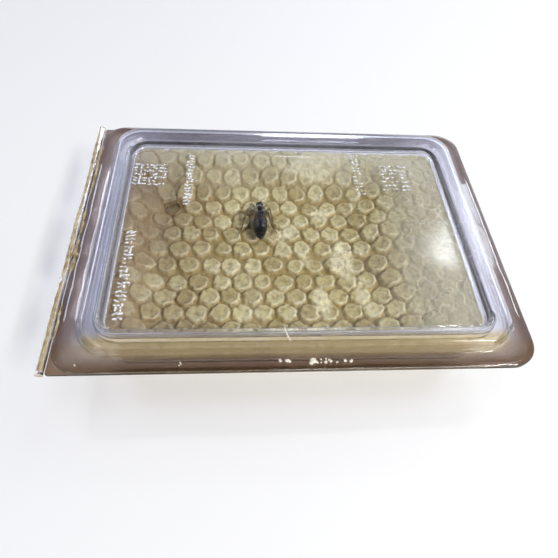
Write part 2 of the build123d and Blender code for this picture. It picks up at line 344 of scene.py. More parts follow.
wear.links.new(scratch_part.outputs[0], rough.inputs[0])
wear.links.new(rough.outputs[0], wear_out.inputs["Roughness"])
waves = add_node(wear, "ShaderNodeTexNoise", Scale=55.0, Detail=2.0)
wear.links.new(place.outputs["Object"], waves.inputs["Vector"])
wear.links.new(waves.outputs["Fac"], wear_out.inputs["Height"])


def clear_plastic(name, tint, flange_table_and_shade_tint, haze, smear_scale, smudge_depth=0.0):
    """Clear moulded plastic with wear: a flange tint painted in for the table and its shadow seen through
    it, milky ring with a wax film in front, clear patch.
    """
    material, tree, principled, output = new_material(name)
    principled.inputs["Transmission Weight"].default_value = 1
    principled.inputs["IOR"].default_value = 1.49
    worn = add_node(tree, "ShaderNodeGroup")
    worn.node_tree = wear
    worn.inputs["Smear Scale"].default_value = smear_scale
    worn.inputs["Haze"].default_value = haze
    middle = add_node(tree, "ShaderNodeTexCoord")
    reach = add_node(tree, "ShaderNodeVectorMath", operation="DISTANCE")
    reach.inputs[1].default_value = (0.0425, -0.0045, 0.0141)
    tree.links.new(middle.outputs["Object"], reach.inputs[0])
    smudge = add_node(tree, "ShaderNodeMapRange")
    smudge.inputs["From Min"].default_value = 0.014
    smudge.inputs["From Max"].default_value = 0.001
    smudge.inputs["To Max"].default_value = smudge_depth
    tree.links.new(reach.outputs["Value"], smudge.inputs["Value"])
    smudged = add_node(tree, "ShaderNodeMath", operation="ADD")
    tree.links.new(worn.outputs["Roughness"], smudged.inputs[0])
    tree.links.new(smudge.outputs["Result"], smudged.inputs[1])
    ring = add_node(tree, "ShaderNodeAttribute", attribute_name="ring")
    softened = add_node(tree, "ShaderNodeMath", operation="MULTIPLY_ADD")
    softened.inputs[1].default_value = 0.11
    tree.links.new(ring.outputs["Fac"], softened.inputs[0])
    tree.links.new(smudged.outputs[0], softened.inputs[2])
    tree.links.new(softened.outputs[0], principled.inputs["Roughness"])
    front = add_node(tree, "ShaderNodeSeparateXYZ")
    tree.links.new(middle.outputs["Object"], front.inputs["Vector"])
    front_share = add_node(tree, "ShaderNodeMapRange")
    front_share.inputs["From Min"].default_value = -0.0305
    front_share.inputs["From Max"].default_value = -0.0325
    tree.links.new(front.outputs["Y"], front_share.inputs["Value"])
    flange = add_node(tree, "ShaderNodeAttribute", attribute_name="flange")
    tinted = add_node(tree, "ShaderNodeMix", data_type="RGBA")
    tinted.inputs[6].default_value = (*tint, 1)
    tinted.inputs[7].default_value = (*flange_table_and_shade_tint, 1)
    tree.links.new(flange.outputs["Fac"], tinted.inputs[0])
    ring_color = add_node(tree, "ShaderNodeMix", data_type="RGBA")
    ring_color.inputs[6].default_value = (0.84, 0.85, 0.96, 1)
    ring_color.inputs[7].default_value = (0.94, 0.84, 0.64, 1)
    tree.links.new(front_share.outputs["Result"], ring_color.inputs[0])
    ring_tinted = add_node(tree, "ShaderNodeMix", data_type="RGBA")
    tree.links.new(ring_color.outputs[2], ring_tinted.inputs[7])
    tree.links.new(ring.outputs["Fac"], ring_tinted.inputs[0])
    tree.links.new(tinted.outputs[2], ring_tinted.inputs[6])
    tree.links.new(ring_tinted.outputs[2], principled.inputs["Base Color"])
    bump = add_node(tree, "ShaderNodeBump", Strength=0.12, Distance=0.0006)
    tree.links.new(worn.outputs["Height"], bump.inputs["Height"])
    tree.links.new(bump.outputs["Normal"], principled.inputs["Normal"])
    wiped = add_node(tree, "ShaderNodeVectorMath", operation="DISTANCE")
    wiped.inputs[1].default_value = (-0.0035, 0.0025, 0.0141)
    tree.links.new(middle.outputs["Object"], wiped.inputs[0])
    wiped_share = add_node(tree, "ShaderNodeMapRange")
    wiped_share.inputs["From Min"].default_value = 0.007
    wiped_share.inputs["From Max"].default_value = 0.017
    tree.links.new(wiped.outputs["Value"], wiped_share.inputs["Value"])
    window_milk = add_node(tree, "ShaderNodeMath", operation="MULTIPLY")
    tree.links.new(worn.outputs["Veil"], window_milk.inputs[0])
    tree.links.new(wiped_share.outputs["Result"], window_milk.inputs[1])
    film = add_node(tree, "ShaderNodeTexNoise", Scale=330.0, Detail=3.0)
    tree.links.new(middle.outputs["Object"], film.inputs["Vector"])
    film_share = add_node(tree, "ShaderNodeMapRange")
    film_share.inputs["From Min"].default_value = 0.30
    film_share.inputs["From Max"].default_value = 0.70
    film_share.inputs["To Min"].default_value = 0.05
    film_share.inputs["To Max"].default_value = 0.34
    tree.links.new(film.outputs["Fac"], film_share.inputs["Value"])
    ring_milk = add_node(tree, "ShaderNodeMix", data_type="FLOAT")
    ring_milk.inputs[2].default_value = 0.022
    tree.links.new(front_share.outputs["Result"], ring_milk.inputs[0])
    tree.links.new(film_share.outputs["Result"], ring_milk.inputs[3])
    milk_share = add_node(tree, "ShaderNodeMath", operation="MULTIPLY_ADD")
    tree.links.new(ring.outputs["Fac"], milk_share.inputs[0])
    tree.links.new(ring_milk.outputs[0], milk_share.inputs[1])
    tree.links.new(window_milk.outputs[0], milk_share.inputs[2])
    milk = add_node(tree, "ShaderNodeBsdfDiffuse")
    milk_color = add_node(tree, "ShaderNodeMix", data_type="RGBA")
    milk_color.inputs[6].default_value = (0.64, 0.66, 0.75, 1)
    milk_color.inputs[7].default_value = (0.40, 0.32, 0.16, 1)
    tree.links.new(front_share.outputs["Result"], milk_color.inputs[0])
    tree.links.new(milk_color.outputs[2], milk.inputs["Color"])
    milky = add_node(tree, "ShaderNodeMixShader")
    tree.links.new(milk_share.outputs[0], milky.inputs["Fac"])
    tree.links.new(principled.outputs["BSDF"], milky.inputs[1])
    tree.links.new(milk.outputs["BSDF"], milky.inputs[2])
    path = add_node(tree, "ShaderNodeLightPath")
    through = add_node(tree, "ShaderNodeBsdfTransparent")
    through.inputs["Color"].default_value = (0.96, 0.96, 0.97, 1)
    either = add_node(tree, "ShaderNodeMath", operation="MAXIMUM")
    tree.links.new(path.outputs["Is Shadow Ray"], either.inputs[0])
    tree.links.new(path.outputs["Is Diffuse Ray"], either.inputs[1])
    mixed = add_node(tree, "ShaderNodeMixShader")
    tree.links.new(either.outputs[0], mixed.inputs["Fac"])
    tree.links.new(milky.outputs["Shader"], mixed.inputs[1])
    tree.links.new(through.outputs["BSDF"], mixed.inputs[2])
    tree.links.new(mixed.outputs["Shader"], output.inputs["Surface"])
    return material


def mark_zone(piece, zone, values, loop_length):
    """Stores one value per loop of a shell as a mask the plastic reads."""
    attribute = piece.data.attributes.new(zone, "FLOAT", "POINT")
    attribute.data.foreach_set("value", [value for value in values for step in range(loop_length)])


# The tray flange's dark brown tint stands in for the brown table and the cage's shadow on it seen through
# the flange: partly painted shade.
tray_plastic = clear_plastic("tray_clear_plastic", (0.93, 0.93, 0.95), (0.205, 0.115, 0.072), 0.02, 60.0)
floor_half_x = WINDOW_HALF_X + MOUTH_GAP - 1.0
floor_half_y = WINDOW_HALF_Y + MOUTH_GAP - 1.0
floor_corner = 3.6 + MOUTH_GAP - 1.0


def tray_wall_loop(z, outward):
    """A loop on the tray's leaning wall; outward is the distance out from its inner face."""
    spread = TRAY_LEAN * z + outward
    return rounded_loop(floor_half_x + spread, floor_half_y + spread, floor_corner + spread, z)


def tray_flange_loop(inset, z):
    """A loop near the tray flange's edge, square at the hinge side."""
    return rounded_loop(
        LID_HALF_WIDTH - inset,
        LID_HALF_DEPTH - inset,
        6.0 - inset,
        z,
        left_corner=0.8,
        left_extra=tray_extra,
    )


tray_extra = -(tray_low.x - (LID_MIDDLE_X - LID_HALF_WIDTH))
tray_loops = []
for inset, z in turn(-1.2, 1.2, 1.2, 0, -80, 6)[::-1]:
    tray_loops.append(tray_wall_loop(max(z, 0.0), WALL + inset))
for z in (3, 5, 7, 9, 11, FLANGE_BOTTOM - 0.5, FLANGE_BOTTOM - 0.2):
    tray_loops.append(tray_wall_loop(z, WALL))
tray_loops.append(tray_wall_loop(FLANGE_BOTTOM - 0.05, WALL + 0.15))
tray_loops.append(tray_wall_loop(FLANGE_BOTTOM, WALL + 0.5))
edge_turn = ((1.2, 0.0), (0.35, 0.0), (0.1, 0.1), (0.0, 0.3))
for inset, lift in edge_turn:
    tray_loops.append(tray_flange_loop(inset, FLANGE_BOTTOM + lift))
for inset, lift in reversed(edge_turn):
    tray_loops.append(tray_flange_loop(inset, FLANGE_TOP - lift))
tray_loops.append(tray_wall_loop(FLANGE_TOP, WALL + 0.5))
tray_loops.append(tray_wall_loop(FLANGE_TOP + 0.1, WALL + 0.12))
tray_loops.append(tray_wall_loop(FLANGE_TOP + 0.4, WALL))
tray_loops.append(tray_wall_loop(SPIGOT_TOP - 0.3, WALL))
tray_loops.append(tray_wall_loop(SPIGOT_TOP, WALL * 0.7))
tray_loops.append(tray_wall_loop(SPIGOT_TOP, WALL * 0.3))
tray_loops.append(tray_wall_loop(SPIGOT_TOP - 0.3, 0))
for z in (14, 12, 10, 8, 6, 4, 2.4):
    tray_loops.append(tray_wall_loop(z, 0))
for inset, z in turn(-0.8, 1.6, 0.8, 0, -90, 5):
    tray_loops.append(tray_wall_loop(z, inset))
tray_piece = skin("tray_shell", tray_loops)
tray_piece.data.materials.append(tray_plastic)
ring_reach = WINDOW_HALF_X + RING_WIDTH
tray_edges = [max(abs(max(loop)[0] - LID_MIDDLE_X) - ring_reach, 0.0) for loop in tray_loops]
mark_zone(tray_piece, "flange", [min(edge / 1.0, 1.0) for edge in tray_edges], len(tray_loops[0]))
mark_zone(tray_piece, "ring", [0.1] * len(tray_loops), len(tray_loops[0]))
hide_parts("tray")
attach(tray_piece, "tray_body")


# ---------------------------------------------------------------------------
# Hinge fold: the same clear plastic turned back on itself along the whole left side, with a
# slightly pinched, wavy roll where it was creased.
# ---------------------------------------------------------------------------
fold_plastic = clear_plastic("fold_clear_plastic", (0.66, 0.54, 0.36), (0.66, 0.54, 0.36), 0.45, 160.0)
fold_radius = (fold_high.z - fold_low.z) / 2
fold_x = fold_low.x + fold_radius
fold_z = fold_low.z + fold_radius
fold_points = []
fold_faces = []
fold_rings = 90
fold_sides = 20
for ring in range(fold_rings + 1):
    y = fold_low.y + (fold_high.y - fold_low.y) * ring / fold_rings
    for side in range(fold_sides):
        angle = 2 * math.pi * side / fold_sides
        pinch = 1 - 0.10 * abs(noise.noise(Vector((y * 0.35, math.cos(angle), math.sin(angle)))))
        reach = fold_radius * pinch
        fold_points.append((fold_x + reach * math.cos(angle), y, fold_z + reach * math.sin(angle)))
for ring in range(fold_rings):
    for side in range(fold_sides):
        after = (side + 1) % fold_sides
        low, high = ring * fold_sides, (ring + 1) * fold_sides
        fold_faces.append((low + side, low + after, high + after, high + side))
fold_faces.append(tuple(range(fold_sides)))
fold_faces.append(tuple(fold_rings * fold_sides + side for side in reversed(range(fold_sides))))
fold_piece = new_mesh("hinge_roll", fold_points, fold_faces)
fold_piece.data.materials.append(fold_plastic)
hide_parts("hinge_fold")
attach(fold_piece, "tray_body")


# ---------------------------------------------------------------------------
# Lid: the clear upper half. A flange with round corners, a hollow raised ring with soft edges,
# and a flat window sunk to the flange's level. One clear moulding, one wall thick.
# ---------------------------------------------------------------------------
# The lid flange's brownish tint stands in for the table and its shadow seen through it: partly painted
# shade.
lid_plastic = clear_plastic("lid_clear_plastic", (0.95, 0.95, 0.965), (0.63, 0.56, 0.53), 0.040, 38.0, 0.16)
RING_LEAN = 0.45 / (CREST - LID_TOP)


def lid_loop(inset, z, corner, wave=0.0):
    """A loop inset from the lid's edge; the front and back flanges are narrower than the sides."""
    front_share = min(inset / FLANGE_SIDE, 1.0)
    inset_y = inset - front_share * (FLANGE_SIDE - FLANGE_FRONT)
    return rounded_loop(LID_HALF_WIDTH - inset, LID_HALF_DEPTH - inset_y, corner, z, wave=wave)


ring_out = FLANGE_SIDE
ring_in = FLANGE_SIDE + RING_WIDTH
outer_face = [
    (0.0, LID_BOTTOM + 0.3, 6.0),
    (0.0, LID_TOP - 0.3, 6.0),
    (0.1, LID_TOP - 0.1, 5.95),
    (0.35, LID_TOP, 5.8),
    (1.6, LID_TOP, 5.8),
    (3.2, LID_TOP, 6.4),
    (ring_out - 0.45, LID_TOP, 7.1),
    (ring_out - 0.12, LID_TOP + 0.12, 7.0),
    (ring_out + 0.05, LID_TOP + 0.5, 7.0),
    (ring_out + 0.2, LID_TOP + 1.6, 6.9),
    (ring_out + 0.33, CREST - 0.9, 6.8),
    (ring_out + 0.48, CREST - 0.45, 6.6),
    (ring_out + 0.78, CREST - 0.14, 6.4),
    (ring_out + 1.2, CREST - 0.02, 6.1),
    (ring_out + 1.8, CREST, 5.6),
    (ring_in - 1.8, CREST, 4.9),
    (ring_in - 1.2, CREST - 0.02, 4.6),
    (ring_in - 0.78, CREST - 0.14, 4.3),
    (ring_in - 0.48, CREST - 0.45, 4.1),
    (ring_in - 0.33, CREST - 0.9, 3.95),
    (ring_in - 0.2, LID_TOP + 1.6, 3.8),
    (ring_in - 0.05, LID_TOP + 0.5, 3.7),
    (ring_in + 0.12, LID_TOP + 0.12, 3.5),
    (ring_in + 0.45, LID_TOP, 3.3),
    (ring_in + 2.0, LID_TOP, 2.6),
]
inner_face = [
    (ring_in + 2.0, LID_BOTTOM, 2.6),
    (ring_in + 0.9, LID_BOTTOM, 2.9),
    (ring_in - 0.50, LID_BOTTOM + 0.02, 3.9),
    (ring_in - 0.76, LID_BOTTOM + 0.18, 4.2),
    (ring_in - 0.84, LID_BOTTOM + 0.5, 4.35),
    (ring_in - 1.0, LID_TOP + 1.6, 4.5),
    (ring_in - 1.12, CREST - WALL - 0.5, 4.6),
    (ring_in - 1.3, CREST - WALL - 0.12, 4.8),
    (ring_in - 1.7, CREST - WALL, 5.0),
    (ring_out + 1.7, CREST - WALL, 5.7),
    (ring_out + 1.3, CREST - WALL - 0.12, 5.9),
    (ring_out + 1.12, CREST - WALL - 0.5, 6.1),
    (ring_out + 1.0, LID_TOP + 1.6, 6.2),
    (ring_out + 0.84, LID_BOTTOM + 0.5, 6.2),
    (ring_out + 0.74, LID_BOTTOM + 0.15, 6.2),
    (ring_out + 0.45, LID_BOTTOM, 6.3),
    (3.2, LID_BOTTOM, 6.4),
    (1.6, LID_BOTTOM, 5.8),
    (0.35, LID_BOTTOM, 5.8),
    (0.1, LID_BOTTOM + 0.1, 5.95),
    (0.0, LID_BOTTOM + 0.3, 6.0),
]
lid_points = []
lid_faces = []
flange_wave = 0.16
lid_rows = [
    lid_loop(inset, z, corner, flange_wave if 1.0 < inset < ring_out - 1 else 0.0)
    for inset, z, corner in outer_face + inner_face[:-1]
]
lid_count = len(lid_rows[0])
lid_points = [point for row in lid_rows for point in row]
top_end = (len(outer_face) - 1) * lid_count
for row in range(len(lid_rows)):
    if row == len(outer_face) - 1:
        continue
    low = row * lid_count
    high = ((row + 1) % len(lid_rows)) * lid_count
    for index in range(lid_count):
        after = (index + 1) % lid_count
        lid_faces.append((low + index, low + after, high + after, high + index))
lid_faces.append(tuple(range(top_end, top_end + lid_count)))
lid_faces.append(tuple(reversed(range(top_end + lid_count, top_end + 2 * lid_count))))
lid_piece = new_mesh("lid_shell", lid_points, lid_faces)
mesh_edit = bmesh.new()
mesh_edit.from_mesh(lid_piece.data)
bmesh.ops.recalc_face_normals(mesh_edit, faces=mesh_edit.faces)
mesh_edit.to_mesh(lid_piece.data)
mesh_edit.free()
lid_piece.data.materials.append(lid_plastic)
lid_insets = [inset for inset, z, corner in outer_face + inner_face[:-1]]
on_flange = [1 - smooth_step(ring_out - 0.6, ring_out + 0.4, inset) for inset in lid_insets]
on_window = [smooth_step(ring_in - 0.3, ring_in + 0.5, inset) for inset in lid_insets]
mark_zone(lid_piece, "flange", on_flange, lid_count)
mark_zone(lid_piece, "ring", [1 - out - flat for out, flat in zip(on_flange, on_window)], lid_count)
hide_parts("lid")
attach(lid_piece, "lid_body")


# ---------------------------------------------------------------------------
# Comb surface: the bees' own wax. Domed cappings over full cells in the hollow under the queen,
# with a slope up to the window on every side, where the wax is pressed flat and wrinkled.
# ---------------------------------------------------------------------------
CELL_STEP_X = 5.3
ROW_STEP = 4.78
ROW_ORIGIN = Vector((-1.4, -21.2))
CAP_LEVEL = 8.3
RIM_LEVEL = node_box("raised_comb")[1].z
COMB_HALF_X = node_box("raised_comb")[1].x - LID_MIDDLE_X
COMB_HALF_Y = node_box("raised_comb")[1].y
HOLLOW = (-31.0, 14.0, -26.35, 12.5)
SLOPE = (10.5, 24.0, 2.0, 16.5)


def lattice_centre(row, column):
    """Where one cell sits: rows along X, staggered, with the bees' small errors."""
    shift = CELL_STEP_X / 2 if row % 2 else 0
    x = ROW_ORIGIN.x + shift + CELL_STEP_X * column
    sag = 0.9 * max(math.sin(math.pi * row / 4), 0.0) if 0 < row < 4 else 0.0
    y = ROW_ORIGIN.y + ROW_STEP * row - sag
    chance = random.Random(row * 131 + column * 17 + 5)
    return x + chance.uniform(-0.35, 0.35), y + chance.uniform(-0.3, 0.3), chance.random(), chance.random()


lattice = {}
for row in range(-4, 14):
    for column in range(-12, 14):
        lattice[(row, column)] = lattice_centre(row, column)


def nearest_cells(x, y):
    """The nearest cell and the distances to it and to the next one."""
    row_guess = round((y - ROW_ORIGIN.y) / ROW_STEP)
    best = (1e9, None)
    second = 1e9
    for row in range(row_guess - 1, row_guess + 2):
        shift = CELL_STEP_X / 2 if row % 2 else 0
        column_guess = round((x - ROW_ORIGIN.x - shift) / CELL_STEP_X)
        for column in (column_guess - 1, column_guess, column_guess + 1):
            cell = lattice.get((row, column))
            if cell is None:
                continue
            distance = math.hypot(x - cell[0], y - cell[1])
            if distance < best[0]:
                second = best[0]
                best = (distance, cell)
            elif distance < second:
                second = distance
    return best[0], second, best[1]


def rise(x, y):
    """How far up from the hollow's floor to the window the comb has come, from 0 to 1."""
    left, right, front, back = HOLLOW
    wander = 2.0 * noise.noise(Vector((x * 0.07, y * 0.07, 3.1)))
    reach = [
        (left - x + wander) / SLOPE[0],
        (x - right + wander) / SLOPE[1],
        (front - y) / SLOPE[2],
        (y - back + wander) / SLOPE[3],
    ]
    total = math.sqrt(sum(max(value, 0.0) ** 2 for value in reach))
    return smooth_step(0.0, 1.0, total)


def drift(place):
    """A smooth wandering vector, the same at every run."""
    return Vector(noise.noise(place + Vector((9.3 * axis, 1.7 * axis, 4.1 * axis))) for axis in range(3))


def comb_height(x, y):
    """Height of the wax, and its masks: gap, cell tone, pressed flat, open cell, and pale wax with a painted
    highlight on each cap's front-right rim.
    """
    up = rise(x, y)
    warp = drift(Vector((x * 0.25, y * 0.25, 7.7)))
    jag = drift(Vector((x * 0.95, y * 0.95, 2.7)))
    near, next_near, cell = nearest_cells(x + 0.45 * warp.x + 0.42 * jag.x, y + 0.45 * warp.y + 0.42 * jag.y)
    edge = (next_near - near) / 2
    tone, kind = cell[2], cell[3]
    is_hole = kind > 0.975 and up < 0.4 and x < 0
    pressed = smooth_step(0.35, 0.85, up) * smooth_step(4.0, 26.0, x)
    merged = smooth_step(0.10, 0.32, noise.noise(Vector((x * 0.13, y * 0.13, 31.4))))
    merged *= smooth_step(-12.0, 2.0, x) * (1 - smooth_step(16.0, 24.0, x))
    ragged = 0.20 * noise.noise(Vector((x * 0.9, y * 0.9, 1.3)))
    inside = min(edge * 1.15, 2.72 + 0.3 * (kind - 0.5) - near) + ragged
    shoulder = smooth_step(-0.05, 0.62, inside)
    shoulder = max(shoulder, 0.75 * merged)
    rim = math.exp(-(((inside - 0.72) / 0.30) ** 2))
    # How far towards the front right, the side the lamp lights: it sets the painted highlight on the rims
    # below.
    side = (x - cell[0]) * 0.62 - (y - cell[1]) * 0.50
    lit_side = smooth_step(-0.4, 1.6, side)
    dip = -0.30 * math.exp(-((near / 1.45) ** 2)) * (0.3 + 1.1 * tone)
    relief = (0.85 + 0.45 * (kind - 0.5)) * shoulder + 0.25 + rim * (0.04 + 0.22 * lit_side) + dip
    if is_hole:
        relief = 0.9 * rim - 1.2 * smooth_step(0.6, 1.3, edge)
    papery = noise.fractal(Vector((x * 1.1, y * 1.1, 4.0)), 0.7, 2.1, 4)
    fine = 0.16 * papery
    crease = abs(noise.noise(Vector((x * 0.33 + 0.5 * warp.y, y * 0.33 + 0.5 * warp.x, 12.5))))
    ridge = math.exp(-((crease / 0.030) ** 2))
    second_crease = abs(noise.noise(Vector((x * 0.55, y * 0.55, 40.5))))
    second_ridge = math.exp(-((second_crease / 0.028) ** 2))
    swell = noise.noise(Vector((x * 0.5, y * 0.5, 2.2)))
    flat_relief = 0.30 * shoulder + 0.28 * swell + 0.28 * ridge + 0.15 * second_ridge
    relief = relief * (1 - pressed) + flat_relief * pressed
    base = (CAP_LEVEL - 1.25) * (1 - up) + (RIM_LEVEL - 0.75) * up
    height = min(base + relief + fine, RIM_LEVEL)
    gap = (1 - smooth_step(0.0, 0.55, inside)) * (1 - 0.8 * merged)
    # Paler wax on merged caps and pressed ridges, plus a painted highlight on each cap's lit front-right rim
    # and on the lit side of lighter caps.
    pale_and_highlight = min(1.0, rim * (0.10 + 0.95 * lit_side) + 0.80 * merged + 0.9 * max(tone - 0.5, 0) * lit_side)
    pale_and_highlight = pale_and_highlight * (1 - pressed) + pressed * min(1.0, 0.9 * ridge + 0.5 * second_ridge)
    return height, gap, tone, pressed, 1.0 if is_hole else 0.0, pale_and_highlight


comb_step = 0.27
columns_x = int(2 * COMB_HALF_X / comb_step)
rows_y = int(2 * COMB_HALF_Y / comb_step)
comb_points = []
comb_masks = {"gap": [], "tone": [], "pressed": [], "hole": [], "pale_and_highlight": []}
for row in range(rows_y + 1):
    for column in range(columns_x + 1):
        across = -1 + 2 * column / columns_x
        along = -1 + 2 * row / rows_y
        x = LID_MIDDLE_X + across * COMB_HALF_X
        y = along * COMB_HALF_Y
        corner = 4.0
        over_x = abs(x - LID_MIDDLE_X) - (COMB_HALF_X - corner)
        over_y = abs(y) - (COMB_HALF_Y - corner)
        if over_x > 0 and over_y > 0:
            reach = max(over_x, over_y)
            length = math.hypot(over_x, over_y)
            pull = reach / length
            x = LID_MIDDLE_X + math.copysign(COMB_HALF_X - corner + over_x * pull, x - LID_MIDDLE_X)
            y = math.copysign(COMB_HALF_Y - corner + over_y * pull, y)
        height, gap, tone, pressed, hole, pale_and_highlight = comb_height(x, y)
        comb_points.append((x, y, height))
        comb_masks["gap"].append(gap)
        comb_masks["tone"].append(tone)
        comb_masks["pressed"].append(pressed)
        comb_masks["hole"].append(hole)
        comb_masks["pale_and_highlight"].append(pale_and_highlight)
comb_faces = []
width = columns_x + 1
for row in range(rows_y):
    for column in range(columns_x):
        first = row * width + column
        comb_faces.append((first, first + 1, first + width + 1, first + width))
border = (
    [column for column in range(columns_x)]
    + [row * width + columns_x for row in range(rows_y)]
    + [rows_y * width + column for column in range(columns_x, 0, -1)]
    + [row * width for row in range(rows_y, 0, -1)]
)
skirt_bottom = node_box("comb_cell_walls")[1].z
skirt_shrink = 0.40
skirt_start = len(comb_points)
for index in border:
    x, y, z = comb_points[index]
    off_middle = x - LID_MIDDLE_X
    inward_x = math.copysign(skirt_shrink, off_middle) if abs(off_middle) > COMB_HALF_X - 4 else 0
    inward_y = math.copysign(skirt_shrink, y) if abs(y) > COMB_HALF_Y - 4 else 0
    comb_points.append((x - inward_x, y - inward_y, skirt_bottom))
    for mask_name, mask in comb_masks.items():
        mask.append(1.0 if mask_name == "gap" else 0.0)
for step in range(len(border)):
    after = (step + 1) % len(border)
    comb_faces.append((border[after], border[step], skirt_start + step, skirt_start + after))
comb_piece = new_mesh("capped_comb", comb_points, comb_faces)
for mask_name, values in comb_masks.items():
    attribute = comb_piece.data.attributes.new(mask_name, "FLOAT", "POINT")
    attribute.data.foreach_set("value", values)


def color_mix(tree, factor, first, second, blend="MIX"):
    """A colour mix; each of factor, first and second is a socket or a plain value."""
    node = add_node(tree, "ShaderNodeMix", data_type="RGBA", blend_type=blend)
    for socket, value in ((node.inputs[0], factor), (node.inputs[6], first), (node.inputs[7], second)):
        if isinstance(value, (int, float)):
            socket.default_value = value
        elif isinstance(value, tuple):
            socket.default_value = (*value, 1)
        else:
            tree.links.new(value, socket)
    return node.outputs[2]


comb_material, tree, principled, output = new_material("capping_wax")
place = add_node(tree, "ShaderNodeTexCoord")
masks = {name: add_node(tree, "ShaderNodeAttribute", attribute_name=name) for name in comb_masks}
mottle = add_node(tree, "ShaderNodeTexNoise", Scale=620.0, Detail=7.0, Roughness=0.72)
tree.links.new(place.outputs["Object"], mottle.inputs["Vector"])
broad = add_node(tree, "ShaderNodeTexNoise", Scale=38.0, Detail=3.0, Roughness=0.5)
tree.links.new(place.outputs["Object"], broad.inputs["Vector"])
cap_tone = ramp(
    tree,
    masks["tone"].outputs["Fac"],
    [(0.0, (0.365, 0.290, 0.115)), (0.5, (0.46, 0.385, 0.175)), (1.0, (0.58, 0.515, 0.275))],
)
# Pale wax and the painted highlight on the caps' lit rims, mixed over the cap tone.
pale_and_highlight_color = color_mix(tree, masks["pale_and_highlight"].outputs["Fac"], cap_tone.outputs["Color"], (0.74, 0.68, 0.44))
mottled = ramp(
    tree,
    mottle.outputs["Fac"],
    [(0.36, (0.50, 0.44, 0.31)), (0.50, (1.0, 1.0, 1.0)), (0.66, (1.30, 1.30, 1.26))],
)
cap_color = color_mix(tree, 0.85, pale_and_highlight_color, mottled.outputs["Color"], "MULTIPLY")
# Darker wax between the caps, with painted shade in the grooves between them.
gap_share = add_node(tree, "ShaderNodeMath", operation="MULTIPLY")
gap_share.inputs[1].default_value = 0.85
tree.links.new(masks["gap"].outputs["Fac"], gap_share.inputs[0])
gap_wax_and_shade_color = color_mix(tree, gap_share.outputs[0], cap_color, (0.320, 0.230, 0.075))
hole_color = color_mix(tree, masks["hole"].outputs["Fac"], gap_wax_and_shade_color, (0.24, 0.155, 0.05))
split = add_node(tree, "ShaderNodeSeparateXYZ")
tree.links.new(place.outputs["Object"], split.inputs["Vector"])
left_side = add_node(tree, "ShaderNodeMapRange")
left_side.inputs["From Min"].default_value = -0.014
left_side.inputs["From Max"].default_value = -0.036
tree.links.new(split.outputs["X"], left_side.inputs["Value"])
left_wave = add_node(tree, "ShaderNodeMath", operation="MULTIPLY")
tree.links.new(left_side.outputs["Result"], left_wave.inputs[0])
left_spots = ramp(tree, broad.outputs["Fac"], [(0.3, (0.4, 0.4, 0.4)), (0.6, (1, 1, 1))])
tree.links.new(left_spots.outputs["Color"], left_wave.inputs[1])
browned = color_mix(tree, left_wave.outputs[0], hole_color, (0.200, 0.130, 0.062))
flat_color = color_mix(tree, mottle.outputs["Fac"], (0.315, 0.265, 0.140), (0.465, 0.425, 0.270))
pressed_color = color_mix(tree, masks["pale_and_highlight"].outputs["Fac"], flat_color, (0.66, 0.62, 0.43))
right_side = add_node(tree, "ShaderNodeMapRange")
right_side.inputs["From Min"].default_value = 0.012
right_side.inputs["From Max"].default_value = 0.034
tree.links.new(split.outputs["X"], right_side.inputs["Value"])
pressed_share = add_node(tree, "ShaderNodeMath", operation="MULTIPLY")
tree.links.new(masks["pressed"].outputs["Fac"], pressed_share.inputs[0])
tree.links.new(right_side.outputs["Result"], pressed_share.inputs[1])
right_color = color_mix(tree, pressed_share.outputs[0], browned, pressed_color)
back_side = add_node(tree, "ShaderNodeMapRange")
back_side.inputs["From Min"].default_value = 0.014
back_side.inputs["From Max"].default_value = 0.030
back_side.inputs["To Max"].default_value = 0.62
tree.links.new(split.outputs["Y"], back_side.inputs["Value"])
final_color = color_mix(tree, back_side.outputs["Result"], right_color, (0.56, 0.53, 0.38))
tree.links.new(final_color, principled.inputs["Base Color"])
wet = ramp(tree, broad.outputs["Fac"], [(0.35, (0.30, 0.30, 0.30)), (0.65, (0.58, 0.58, 0.58))])
tree.links.new(wet.outputs["Color"], principled.inputs["Roughness"])
principled.inputs["Specular IOR Level"].default_value = 0.4
bump = add_node(tree, "ShaderNodeBump", Strength=0.8, Distance=0.00030)
tree.links.new(mottle.outputs["Fac"], bump.inputs["Height"])
tree.links.new(bump.outputs["Normal"], principled.inputs["Normal"])
comb_piece.data.materials.append(comb_material)
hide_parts("comb_cappings", "raised_comb")
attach(comb_piece, "tray_body")


# ---------------------------------------------------------------------------
# Comb sides: the cut edge of the cell walls, where each cell met the tray's wall. Tan wax drawn
# down to the midrib, scalloped cell by cell, with darker honey-brown streaks running down it.
# ---------------------------------------------------------------------------
walls_low, walls_high = node_box("comb_cell_walls")
side_half_x = walls_high.x - LID_MIDDLE_X
side_half_y = walls_high.y
side_corner = 3.7


